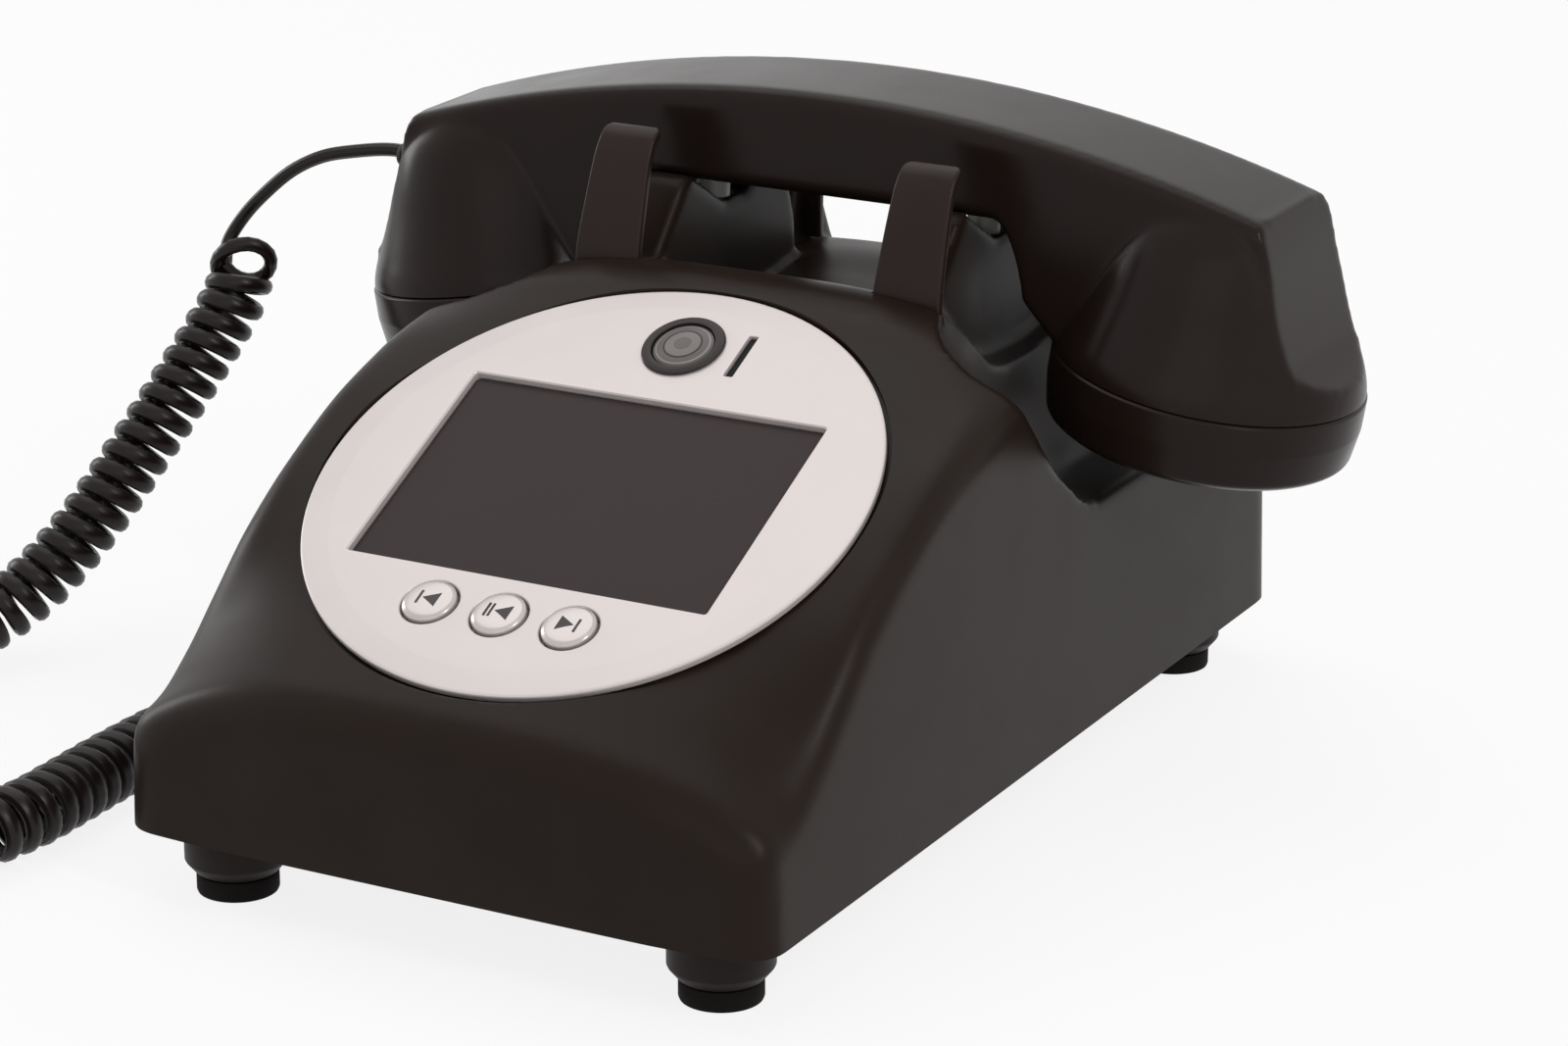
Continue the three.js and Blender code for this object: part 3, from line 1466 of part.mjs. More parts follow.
const barUnder = leverBarLow - seatGap;
const switchLow = shelfTop + seatGap;
const spring = tube(springRadius, springRadius - springWire, switchLow, barUnder, coarse);
addPiece("hook_spring", spring, "steel").position.set(springX, barY, 0);
const switchBody = block(
  -switchWidth / 2, switchWidth / 2, -switchDepth / 2, switchDepth / 2, switchLow, switchLow + switchHeight,
);
const switchKey = rod(switchKeyRadius, switchLow + switchHeight / 2, barUnder, coarse);
addPiece("hook_switch", join(switchBody, switchKey), "cone").position.set(switchX, barY, 0);

// Sockets and the power switch

function usbSocket() {
  const [w, d, h] = [usbWidth, usbDepth, usbHeight];
  const body = block(-w / 2, w / 2, -d, 0, 0, h);
  const hollow = block(-w / 2 + usbWall, w / 2 - usbWall, -d + usbWall * 3, overrun, usbWall, h - usbWall);
  const tongue = block(-w / 4, w / 4, -d + usbWall, -usbWall * 2, h / 2 - usbWall / 2, h / 2 + usbWall / 2);
  return join(cut(body, hollow), tongue);
}

addPiece("usb_socket", usbSocket(), "steel").position.set(usbX, rear - seatGap, usbLow);

const switchFace = rear - wall - seatGap * 2;
const knobLow = usbLow + slideGap * 2;
const knobHigh = usbLow + powerSlotHeight - slideGap * 2;

function powerBody() {
  const half = powerSlotWidth / 2 + wall;
  const top = usbLow + powerSlotHeight + wall / 2;
  const body = block(powerX - half, powerX + half, switchFace - powerDepth, switchFace, usbLow, top);
  const groove = block(
    powerX - powerSlotWidth / 2, powerX + powerSlotWidth / 2,
    switchFace - powerDepth / 2, switchFace + overrun, knobLow - slideGap, knobHigh + slideGap,
  );
  return cut(body, groove);
}

addPiece("power_switch_body", powerBody(), "cone");
const knobLeft = powerX - powerSlotWidth / 2 + slideGap;
const knob = block(
  knobLeft, knobLeft + powerKnobWidth,
  switchFace - powerDepth / 2 + slideGap, rear + powerKnobProud, knobLow, knobHigh,
);
addPiece("power_switch_knob", knob, "white");

const jackFace = -halfWidth + sideDraft / 2;

function handsetJack() {
  const half = jackSize / 2;
  const wallInside = -halfWidth + wall + sideDraft / 3 + seatGap;
  const body = block(
    jackFace, jackFace + jackDepth, jackY - half, jackY + half, jackHeight - half, jackHeight + half,
  );
  const flange = block(
    wallInside, wallInside + jackFlange, jackY - half - jackFlange, jackY + half + jackFlange,
    jackHeight - half - jackFlange, jackHeight + half + jackFlange / 2,
  );
  const [w, h] = [plugWidth / 2 + seatGap, plugHeight / 2 + seatGap];
  const hollow = block(
    jackFace - overrun, jackFace + jackDepth - jackWall,
    jackY - w, jackY + w, jackHeight - h, jackHeight + h,
  );
  return cut(join(body, flange), hollow);
}

addPiece("handset_jack", handsetJack(), "cone");

// The plug's body lies in the jack and its boot carries the cord away from the wall.
const bootFace = -halfWidth - seatGap * 2;
const bootShares = { base: 0.7, tip: 0.42, collar: 0.35 };

function cordPlug() {
  const body = block(
    bootFace - jointOverlap, jackFace + jackDepth - jackWall - seatGap,
    jackY - plugWidth / 2, jackY + plugWidth / 2,
    jackHeight - plugHeight / 2, jackHeight + plugHeight / 2,
  );
  const radius = wireDiameter / 2 + seatGap;
  const boot = turned(
    [
      [0, 0],
      [plugHeight * bootShares.base, 0],
      [plugHeight * bootShares.base, plugBoot * bootShares.collar],
      [plugHeight * bootShares.tip, plugBoot],
      [radius, plugBoot],
      [radius, plugBoot * leadStartShare],
      [0, plugBoot * leadStartShare],
    ],
    hollowFacets,
  );
  boot.rotateY(-Math.PI / 2);
  return join(body, at(boot, bootFace, jackY, jackHeight));
}

addPiece("cord_plug", cordPlug(), "clear");

// Handset and its pieces
const handset = new THREE.Group();
handset.position.x = handsetShift;
phone.add(handset);
const [rightCup, leftCup] = cupMatrices;
addPiece("handset_shell", handsetShell(), "shell", handset);
addPiece("earpiece_cap", cap(soundHoleCount).applyMatrix4(rightCup), "shell", handset);
addPiece("mouthpiece_cap", cap(soundHoleCount).applyMatrix4(leftCup), "shell", handset);
addPiece("earpiece_receiver", receiver().applyMatrix4(rightCup), "cone", handset);
addPiece("microphone_capsule", capsule().applyMatrix4(leftCup), "steel", handset);
addPiece("microphone_holder", capsuleHolder().applyMatrix4(leftCup), "rubber", handset);
addPiece("handset_grommet", grommetPlaced(grommet()), "rubber", handset);

// The cord's three stretches
const curlWire = curlPoints();
addPiece("cord_curl", wireTube(curlWire, curlSides, wireDiameter), "cord");
addPiece("cord_lead_upper", leadTube(upperLead(), upperSteps), "cord");
addPiece("cord_lead_lower", leadTube(lowerLead(), lowerSteps), "cord");
console.log("least gap between the curls", leastGap(curlWire, wireDiameter).toFixed(2), "mm");

export default phone;
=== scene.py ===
"""Looks of a desk telephone that records an audio guest book.

A dark satin body with a sloped round face, a handset in a cradle of four ears and a curly cord that
lies on the table. Lengths in the tables are millimetres in the frame of the solids: +Z up, the front
looks along -Y and +X is on the right of someone who faces the phone.
"""

import logging
import math
from dataclasses import dataclass
from enum import Enum
from typing import ClassVar, Sequence

import bpy
import numpy as np
from mathutils import Matrix, Vector


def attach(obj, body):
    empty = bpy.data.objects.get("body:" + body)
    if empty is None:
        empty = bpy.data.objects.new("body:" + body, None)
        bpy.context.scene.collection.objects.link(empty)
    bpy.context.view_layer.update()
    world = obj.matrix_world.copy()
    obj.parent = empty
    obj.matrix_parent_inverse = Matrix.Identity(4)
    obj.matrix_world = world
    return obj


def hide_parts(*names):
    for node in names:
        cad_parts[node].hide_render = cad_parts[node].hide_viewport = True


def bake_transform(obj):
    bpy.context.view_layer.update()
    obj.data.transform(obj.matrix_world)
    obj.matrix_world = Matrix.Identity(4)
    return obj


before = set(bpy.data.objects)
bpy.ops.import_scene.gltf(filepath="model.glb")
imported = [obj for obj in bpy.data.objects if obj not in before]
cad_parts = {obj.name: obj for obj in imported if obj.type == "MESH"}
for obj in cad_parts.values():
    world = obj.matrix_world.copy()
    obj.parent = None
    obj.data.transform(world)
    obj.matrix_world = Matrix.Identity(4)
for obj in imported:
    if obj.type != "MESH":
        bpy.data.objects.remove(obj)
log = logging.getLogger("phone")

Piece = bpy.types.Object
Pair = tuple[float, float]
Point = tuple[float, float, float]
MM = 0.001
SHARP = 35.0  # degrees by which an edge turns before it counts as sharp
MOULD_SHARP = 38.0  # the same on the two big mouldings, whose facets are smaller
CRADLE = 49.5  # place of the cradle's middle line
CUP_SIDE = 81.6  # distance of a cup's middle from the handset's
PLUNGER_SIDE = 31.75  # distance of a plunger from the middle of the phone


# Modelling


def deselect() -> None:
    """Leaves edit mode and deselects every object."""
    if bpy.context.object and bpy.context.object.mode != "OBJECT":
        bpy.ops.object.mode_set(mode="OBJECT")
    bpy.ops.object.select_all(action="DESELECT")


def pick(piece: Piece) -> None:
    """Selects one piece alone and makes it the active one."""
    deselect()
    piece.select_set(True)
    bpy.context.view_layer.objects.active = piece


def new_piece(name: str) -> Piece:
    """Names the primitive that an operator has just added.

    Args:
        name: the piece's name.

    Returns:
        The new object.
    """
    piece = bpy.context.object
    piece.name = name
    piece.data.name = name
    return piece


def set_points(piece: Piece, points: np.ndarray) -> None:
    """Moves every vertex of a piece to a point given in millimetres."""
    piece.data.vertices.foreach_set("co", (np.asarray(points, dtype=float) * MM).ravel())
    piece.data.update()


def close_up(piece: Piece, merge: float = 0.002) -> None:
    """Merges a piece's doubles and turns its faces outwards.

    Args:
        piece: the piece.
        merge: distance in millimetres under which two vertices are one.
    """
    pick(piece)
    bpy.ops.object.mode_set(mode="EDIT")
    bpy.ops.mesh.select_all(action="SELECT")
    bpy.ops.mesh.remove_doubles(threshold=merge * MM)
    bpy.ops.mesh.normals_make_consistent(inside=False)
    bpy.ops.object.mode_set(mode="OBJECT")


def use_modifier(piece: Piece, kind: str, **settings: object) -> None:
    """Adds a modifier to a piece and applies it.

    Args:
        piece: the piece.
        kind: the modifier's type, such as BEVEL.
        settings: its settings.
    """
    pick(piece)
    modifier = piece.modifiers.new(kind.title(), kind)
    for key, value in settings.items():
        setattr(modifier, key, value)
    bpy.ops.object.modifier_apply(modifier=modifier.name)


def bevelled(piece: Piece, width: float, segments: int = 3, angle: float = SHARP) -> Piece:
    """Rounds a piece's sharp edges.

    Args:
        piece: the piece.
        width: width of the rounding in millimetres.
        segments: faces across the rounding.
        angle: only edges that turn by more than this many degrees.

    Returns:
        The same piece.
    """
    if width > 0:
        use_modifier(
            piece, "BEVEL", width=width * MM, segments=segments, limit_method="ANGLE",
            angle_limit=math.radians(angle), harden_normals=False,
        )
    return piece


def combined(piece: Piece, other: Piece, how: str = "DIFFERENCE") -> Piece:
    """Cuts, joins or limits a piece with another one, which is used up.

    Args:
        piece: the piece that stays.
        other: the tool.
        how: DIFFERENCE, UNION or INTERSECT.

    Returns:
        The piece that stays.
    """
    use_modifier(piece, "BOOLEAN", object=other, operation=how, solver="EXACT")
    bpy.data.objects.remove(other)
    return piece


def placed(piece: Piece, matrix: Matrix) -> Piece:
    """Moves a piece's mesh by a matrix whose lengths are millimetres."""
    moved = matrix.copy()
    moved.translation *= MM
    piece.data.transform(moved)
    if moved.determinant() < 0:
        piece.data.flip_normals()
    piece.data.update()
    return piece


def copied(piece: Piece, name: str, matrix: Matrix) -> Piece:
    """Copies a piece with a mesh of its own and moves the copy.

    Args:
        piece: the model.
        name: the copy's name.
        matrix: where it goes, in millimetres.

    Returns:
        The copy.
    """
    copy = piece.copy()
    copy.data = piece.data.copy()
    copy.name = name
    copy.data.name = name
    bpy.context.collection.objects.link(copy)
    return placed(copy, matrix)


def skin(name: str, rows: np.ndarray, poles: bool = True) -> Piece:
    """Draws a closed skin over rings of equal count, shaped from a grid.

    Args:
        name: the piece's name.
        rows: an array of rings by points by three, in millimetres.
        poles: whether both ends are closed by a fan.

    Returns:
        The piece.
    """
    rows = np.asarray(rows, dtype=float)
    if poles:
        ends = rows[[0, -1]].mean(axis=1, keepdims=True).repeat(rows.shape[1], axis=1)
        rows = np.concatenate([ends[:1], rows, ends[1:]])
    rows = np.concatenate([rows, rows[:, :1]], axis=1)
    deselect()
    around, along = rows.shape[1] - 1, rows.shape[0] - 1
    bpy.ops.mesh.primitive_grid_add(x_subdivisions=around, y_subdivisions=along, size=1)
    piece = new_piece(name)
    set_points(piece, rows.reshape(-1, 3))
    close_up(piece)
    return piece


def turned(name: str, profile: Sequence[Pair], steps: int = 72, ring: bool = False) -> Piece:
    """Turns a profile on the Z axis, as on a lathe.

    Args:
        name: the piece's name.
        profile: radius and height pairs.
        steps: faces round the axis.
        ring: whether the profile is a closed loop beside the axis.

    Returns:
        The piece.
    """
    deselect()
    bpy.ops.mesh.primitive_circle_add(vertices=len(profile), radius=1)
    piece = new_piece(name)
    set_points(piece, np.array([(radius, 0.0, height) for radius, height in profile]))
    if not ring:
        ends = {0, len(profile) - 1}
        for vertex in piece.data.vertices:
            vertex.select = vertex.index in ends
        for edge in piece.data.edges:
            edge.select = set(edge.vertices) == ends
        bpy.ops.object.mode_set(mode="EDIT")
        bpy.ops.mesh.delete(type="EDGE_FACE")
    else:
        bpy.ops.object.mode_set(mode="EDIT")
    bpy.ops.mesh.select_all(action="SELECT")
    bpy.ops.mesh.spin(steps=steps, angle=2 * math.pi, center=(0, 0, 0), axis=(0, 0, 1))
    close_up(piece)
    return piece


def prism(name: str, outline: Sequence[Pair], low: float, high: float, edge: float = 0.0) -> Piece:
    """Extrudes a flat outline upwards.

    Args:
        name: the piece's name.
        outline: x and y pairs round the outline.
        low: height of its underside.
        high: height of its top.
        edge: width of the rounding of its edges.

    Returns:
        The piece.
    """
    deselect()
    bpy.ops.mesh.primitive_circle_add(vertices=len(outline), radius=1, fill_type="NGON")
    piece = new_piece(name)
    set_points(piece, np.array([(x, y, low) for x, y in outline]))
    bpy.ops.object.mode_set(mode="EDIT")
    bpy.ops.mesh.select_all(action="SELECT")
    bpy.ops.mesh.extrude_region_move(TRANSFORM_OT_translate={"value": (0, 0, (high - low) * MM)})
    bpy.ops.mesh.select_all(action="SELECT")
    bpy.ops.mesh.normals_make_consistent(inside=False)
    bpy.ops.object.mode_set(mode="OBJECT")
    return bevelled(piece, edge)


def box(name: str, low: Point, high: Point, edge: float = 0.0) -> Piece:
    """Makes a block between two corners, with rounded edges."""
    outline = [(low[0], low[1]), (high[0], low[1]), (high[0], high[1]), (low[0], high[1])]
    return prism(name, outline, low[2], high[2], edge)


def merged(name: str, pieces: Sequence[Piece]) -> Piece:
    """Joins pieces into one object without cutting them."""
    pick(pieces[0])
    for piece in pieces:
        piece.select_set(True)
    bpy.ops.object.join()
    return new_piece(name)


def filleted(corners: Sequence[tuple[float, float, float]], steps: int = 5) -> list[Pair]:
    """Rounds the corners of a closed outline.

    Args:
        corners: x, y and radius of each corner in order.
        steps: points on each rounding less one.

    Returns:
        The points of the rounded outline.
    """
    points: list[Pair] = []
    count = len(corners)
    for i, (x, y, radius) in enumerate(corners):
        here = Vector((x, y))
        if radius <= 0:
            points.append((x, y))
            continue
        before = Vector(corners[i - 1][:2]) - here
        after = Vector(corners[(i + 1) % count][:2]) - here
        half = before.angle(after) / 2
        run = min(radius / math.tan(half), before.length * 0.49, after.length * 0.49)
        start, end = here + before.normalized() * run, here + after.normalized() * run
        for k in range(steps + 1):
            t = k / steps
            spot = start * (1 - t) ** 2 + here * (2 * t * (1 - t)) + end * t**2
            points.append((spot.x, spot.y))
    return points


def rounded_box(width: float, height: float, radius: float, centre: Pair = (0.0, 0.0)) -> list[Pair]:
    """Gives the outline of a rectangle with rounded corners."""
    w, h = width / 2, height / 2
    x, y = centre
    corners = [(x - w, y - h, radius), (x + w, y - h, radius), (x + w, y + h, radius), (x - w, y + h, radius)]
    return filleted(corners)


def disc(radius: float, centre: Pair = (0.0, 0.0), count: int = 64) -> list[Pair]:
    """Gives the outline of a circle."""
    angles = [2 * math.pi * k / count for k in range(count)]
    return [(centre[0] + radius * math.cos(a), centre[1] + radius * math.sin(a)) for a in angles]


def flared(name: str, outline: Sequence[Pair], low: float, top: float, flare: float) -> Piece:
    """Makes a cutter whose mouth widens by a chamfer at the height of a surface.

    Args:
        name: the cutter's name.
        outline: the hole's outline, convex.
        low: height of its lower end.
        top: height of the surface that it cuts.
        flare: width of the chamfer.

    Returns:
        The cutter.
    """
    base = np.array(outline)
    middle = base.mean(axis=0)
    away = base - middle
    away /= np.linalg.norm(away, axis=1, keepdims=True)
    rings = [(low, 0.0), (top - flare, 0.0), (top + flare, 2 * flare), (top + 8, 2 * flare)]
    rows = [np.c_[base + away * grow, np.full(len(base), z)] for z, grow in rings]
    return skin(name, np.array(rows))


def pchip(knots: Sequence[Pair], at: np.ndarray) -> np.ndarray:
    """Draws a smooth curve through knots that never overshoots them.

    Args:
        knots: place and value pairs in rising order of place.
        at: the places asked for.

    Returns:
        The values there.
    """
    x, v = np.array(knots, dtype=float).T
    step = np.diff(x)
    rise = np.diff(v) / step
    slope = np.zeros_like(v)
    slope[0], slope[-1] = rise[0], rise[-1]
    for i in range(1, len(v) - 1):
        if rise[i - 1] * rise[i] > 0:
            a, b = 2 * step[i] + step[i - 1], step[i] + 2 * step[i - 1]
            slope[i] = (a + b) / (a / rise[i - 1] + b / rise[i])
    at = np.clip(np.asarray(at, dtype=float), x[0], x[-1])
    k = np.clip(np.searchsorted(x, at, side="right") - 1, 0, len(step) - 1)
    t = (at - x[k]) / step[k]
    return (
        v[k] * (2 * t**3 - 3 * t**2 + 1) + slope[k] * step[k] * (t**3 - 2 * t**2 + t)
        + v[k + 1] * (3 * t**2 - 2 * t**3) + slope[k + 1] * step[k] * (t**3 - t**2)
    )


def spline(points: Sequence[Sequence[float]], per_span: int) -> np.ndarray:
    """Runs a uniform Catmull-Rom curve through points.

    Args:
        points: the points, of two or three coordinates.
        per_span: steps between two points.

    Returns:
        The points on the curve, both ends included.
    """
    p = np.array(points, dtype=float)
    p = np.concatenate([[2 * p[0] - p[1]], p, [2 * p[-1] - p[-2]]])
    out = []
    for i in range(1, len(p) - 2):
        for t in np.arange(per_span) / per_span:
            a, b, c, d = p[i - 1 : i + 3]
            out.append(
                0.5 * (2 * b + (c - a) * t + (2 * a - 5 * b + 4 * c - d) * t * t
                       + (3 * b - a - 3 * c + d) * t**3)
            )
    out.append(p[-2])
    return np.array(out)


# Finishes


def linear(colour: str) -> tuple[float, float, float, float]:
    """Turns an sRGB hex colour into linear numbers."""
    parts = [int(colour[i : i + 2], 16) / 255 for i in (1, 3, 5)]
    red, green, blue = (c / 12.92 if c <= 0.04045 else ((c + 0.055) / 1.055) ** 2.4 for c in parts)
    return (red, green, blue, 1.0)


def add_node(
    tree: bpy.types.NodeTree, kind: str, settings: dict[str, object] | None = None,
    links: dict[str, bpy.types.NodeSocket] | None = None,
) -> bpy.types.Node:
    """Adds a node with its settings and links.

    Args:
        tree: the node tree.
        kind: the node's type.
        settings: values by the name of a property or of an input.
        links: sockets that feed its inputs, by the input's name.

    Returns:
        The node.
    """
    node = tree.nodes.new(kind)
    for key, value in (settings or {}).items():
        if key.isdigit():
            node.inputs[int(key)].default_value = value
        elif key in node.inputs:
            node.inputs[key].default_value = value
        else:
            setattr(node, key, value)
    for key, socket in (links or {}).items():
        tree.links.new(socket, node.inputs[int(key) if key.isdigit() else key])
    return node


class Grain(Enum):
    """How a surface was made, which sets the pattern of its bump."""

    MOULDED = "moulded"
    PAINTED = "painted"
    BRUSHED = "brushed"
    POLISHED = "polished"
    TRACKS = "tracks"
    RINGS = "rings"


@dataclass(frozen=True)
class Finish:
    """One real material and how its surface was made.

    Args:
        name: the material's name.
        colour: sRGB hex colour.
        roughness: roughness of its gloss.
        metallic: 1 for bare metal.
        ior: index of refraction.
        grain: how its surface was made.
        grain_mm: size of the grain in millimetres.
        depth_mm: height of the grain in millimetres.
        mottle: share by which the colour wanders.
        coat: weight of a clear coat.
        specular: share of the mirror reflection that the grain leaves, 0.5 being all of it.
        second: sRGB hex colour of tracks or rings, where it has them.
    """

    name: str
    colour: str
    roughness: float
    metallic: float = 0.0
    ior: float = 1.5
    grain: Grain = Grain.MOULDED
    grain_mm: float = 0.5
    depth_mm: float = 0.01
    mottle: float = 0.08
    coat: float = 0.0
    specular: float = 0.5
    second: str = ""

    WANDER_MM: ClassVar[float] = 18  # width of the slow changes of colour and gloss
    WORN: ClassVar[Pair] = (0.9, 1.12)  # shares of the roughness between which it wanders
    BRUSH: ClassVar[Point] = (0.04, 1.0, 1.0)  # a brush draws the grain out along X
    TRACK_MM: ClassVar[float] = 24  # width of a block of copper tracks

    def material(self) -> bpy.types.Material:
        """Builds the material, or gives the one already built."""
        if self.name in bpy.data.materials:
            return bpy.data.materials[self.name]
        material = bpy.data.materials.new(self.name)
        material.use_nodes = True
        tree = material.node_tree
        tree.nodes.clear()
        place = add_node(tree, "ShaderNodeTexCoord").outputs["Object"]
        wander = add_node(
            tree, "ShaderNodeTexNoise", {"Scale": 1 / (self.WANDER_MM * MM), "Detail": 3.0},
            {"Vector": place},
        )
        pattern, height = self.pattern(tree, place)
        shade = self.shade(tree, wander.outputs["Fac"], pattern)
        gloss = add_node(
            tree, "ShaderNodeMapRange",
            {"From Min": 0.3, "From Max": 0.7, "To Min": self.roughness * self.WORN[0],
             "To Max": self.roughness * self.WORN[1]},
            {"Value": wander.outputs["Fac"]},
        )
        bump = add_node(
            tree, "ShaderNodeBump", {"Strength": 1.0, "Distance": self.depth_mm * MM}, {"Height": height},
        )
        shader = add_node(
            tree, "ShaderNodeBsdfPrincipled",
            {"Metallic": self.metallic, "IOR": self.ior, "Coat Weight": self.coat, "Coat Roughness": 0.08,
             "Specular IOR Level": self.specular},
            {"Base Color": shade, "Roughness": gloss.outputs["Result"], "Normal": bump.outputs["Normal"]},
        )
        add_node(tree, "ShaderNodeOutputMaterial", None, {"Surface": shader.outputs["BSDF"]})
        return material

    def pattern(
        self, tree: bpy.types.NodeTree, place: bpy.types.NodeSocket,
    ) -> tuple[bpy.types.NodeSocket, bpy.types.NodeSocket]:
        """Draws the grain.

        Args:
            tree: the material's node tree.
            place: object coordinates.

        Returns:
            The pattern that colours may follow and the height of the bump.
        """
        scale = 1 / (self.grain_mm * MM)
        if self.grain is Grain.BRUSHED:
            stretch = add_node(tree, "ShaderNodeMapping", {"Scale": self.BRUSH}, {"Vector": place})
            place = stretch.outputs["Vector"]
        if self.grain is Grain.TRACKS:
            bricks = add_node(
                tree, "ShaderNodeTexBrick",
                {"Scale": 1 / (self.TRACK_MM * MM), "Mortar Size": 0.03, "Mortar Smooth": 0.1,
                 "Brick Width": 0.35, "Row Height": 0.12, "Color1": (0, 0, 0, 1), "Color2": (0, 0, 0, 1),
                 "Mortar": (1, 1, 1, 1)},
                {"Vector": place},
            )
            return bricks.outputs["Color"], bricks.outputs["Fac"]
        if self.grain is Grain.RINGS:
            wave = add_node(
                tree, "ShaderNodeTexWave",
                {"wave_type": "RINGS", "rings_direction": "Z", "Scale": scale / 20, "Distortion": 0.0},
                {"Vector": place},
            )
            return wave.outputs["Fac"], wave.outputs["Fac"]
        noise = add_node(
            tree, "ShaderNodeTexNoise", {"Scale": scale, "Detail": 2.0, "Roughness": 0.6}, {"Vector": place},
        )
        return noise.outputs["Fac"], noise.outputs["Fac"]

    def shade(
        self, tree: bpy.types.NodeTree, wander: bpy.types.NodeSocket, pattern: bpy.types.NodeSocket,
    ) -> bpy.types.NodeSocket:
        """Lets the colour wander a little, as pigment and handling do.

        Args:
            tree: the material's node tree.
            wander: a slow noise.
            pattern: the grain's pattern.

        Returns:
            The colour.
        """
        base = linear(self.colour)
        dark = tuple(c * (1 - self.mottle) for c in base[:3]) + (1.0,)
        light = tuple(min(c * (1 + self.mottle), 1.0) for c in base[:3]) + (1.0,)
        spread = add_node(
            tree, "ShaderNodeMapRange", {"From Min": 0.3, "From Max": 0.7}, {"Value": wander},
        )
        mixed = add_node(
            tree, "ShaderNodeMix", {"data_type": "RGBA", "6": dark, "7": light},
            {"0": spread.outputs["Result"]},
        )
        if not self.second:
            fine = add_node(
                tree, "ShaderNodeMix", {"data_type": "RGBA", "blend_type": "MULTIPLY", "0": self.mottle},
                {"6": mixed.outputs[2], "7": pattern},
            )
            return fine.outputs[2]
        drawn = add_node(
            tree, "ShaderNodeMix", {"data_type": "RGBA", "7": linear(self.second)},
            {"0": pattern, "6": mixed.outputs[2]},
        )
        return drawn.outputs[2]


# Moulded ABS in a warm near-black with a fine spark-eroded texture. The texture is drawn coarser than it
# is. It scatters most of the mirror reflection, so the body looks dark with broad soft highlights.
BODY_ABS = Finish("moulded_abs_body", "#221915", 0.33, grain_mm=0.7, depth_mm=0.012, specular=0.1)
# The same ABS from a smoother mould: narrower highlights along its edges.
HANDSET_ABS = Finish("moulded_abs_handset", "#201714", 0.25, grain_mm=0.7, depth_mm=0.008, specular=0.13)
# The body's ABS drawn a little lighter and browner as painted light on the upright ears, with a closer gloss.
EAR_ABS = Finish("moulded_abs_ears", "#2b201d", 0.28, grain_mm=0.6, depth_mm=0.006, specular=0.13)
# ABS with a coarse matt texture, as on undersides: hardly any highlight.
PLATE_ABS = Finish("moulded_abs_base", "#1b1311", 0.5, grain_mm=0.8, depth_mm=0.02, specular=0.15)
# Silver lacquer on ABS: a pale satin with fine flake.
FACE_LACQUER = Finish(
    "silver_lacquer_face", "#d4cbc9", 0.38, metallic=0.25, grain=Grain.PAINTED, grain_mm=0.25,
    depth_mm=0.003, mottle=0.03,
)
# The same lacquer with more flake, drawn darker than the face's as painted shade on the domes. The domes
# catch the lamps as bright spots.
KEY_LACQUER = Finish(
    "silver_lacquer_keys", "#c3bbb9", 0.24, metallic=0.55, grain=Grain.PAINTED, grain_mm=0.25,
    depth_mm=0.003, mottle=0.03,
)
# Smoked acrylic with an anti-glare face over a dark display: an even dark brown-grey, almost without mirror.
WINDOW_ACRYLIC = Finish(
    "smoked_acrylic_window", "#352c2c", 0.3, ior=1.49, grain=Grain.POLISHED, grain_mm=6, depth_mm=0.002,
    mottle=0.02, specular=0.1,
)
# Moulded ABS with a satin face: a dark ring with a soft rim light.
BEZEL_PLASTIC = Finish("moulded_abs_bezel", "#2b2422", 0.3, grain_mm=0.5, depth_mm=0.004, specular=0.2)
# Coated glass over a dark well: a mid grey haze with a soft reflection.
LENS_GLASS = Finish(
    "coated_glass_lens", "#57504e", 0.22, ior=1.52, grain=Grain.POLISHED, grain_mm=8, depth_mm=0.001,
    mottle=0.05, specular=0.35,
)
# Painted reflection: a paler ring on the lens.
PALE_LENS_REFLECTION = Finish(
    "painted_reflection_pale_ring", "#6c6563", 0.2, ior=1.52, grain=Grain.POLISHED, mottle=0.05, specular=0.4,
)
# Painted reflection: a thin pale line on the lens.
THIN_LENS_REFLECTION = Finish(
    "painted_reflection_thin_line", "#7d7674", 0.35, metallic=0.3, grain=Grain.POLISHED, mottle=0.05,
)
# Screen printing ink: matt dark marks.
PRINT_INK = Finish("screen_print_ink", "#2b2423", 0.5, grain_mm=0.3, depth_mm=0.002)
# Moulded rubber: black and matt, with a dusty grain.
FOOT_RUBBER = Finish(
    "moulded_rubber_feet", "#120d0c", 0.78, grain_mm=0.5, depth_mm=0.03, ior=1.52, specular=0.12,
)
# A finer rubber: black with a dull sheen on its ribs.
SEAL_RUBBER = Finish("moulded_rubber_grommet", "#14100f", 0.6, grain_mm=0.5, depth_mm=0.015, ior=1.52)
# Extruded PVC: dark, with a long glossy highlight on each curl.
CORD_PVC = Finish(
    "extruded_pvc_cord", "#1b1311", 0.32, grain_mm=1.2, depth_mm=0.01, ior=1.53, specular=0.2,
)
# Zinc plate on steel: a pale metal with fine scratches one way.
ZINC_STEEL = Finish(
    "zinc_plated_steel", "#b7b7b4", 0.34, metallic=1.0, grain=Grain.BRUSHED, grain_mm=0.4, depth_mm=0.006,
)
# Drawn steel: a bright metal with drawing marks along the wire.
SPRING_STEEL = Finish(
    "drawn_steel", "#a9a9a6", 0.3, metallic=1.0, grain=Grain.BRUSHED, grain_mm=0.3, depth_mm=0.004,
)
# Thin gold plate: small warm yellow lines.
GOLD_CONTACT = Finish(
    "gold_plated_contact", "#d9b45a", 0.25, metallic=1.0, grain=Grain.POLISHED, mottle=0.03,
)
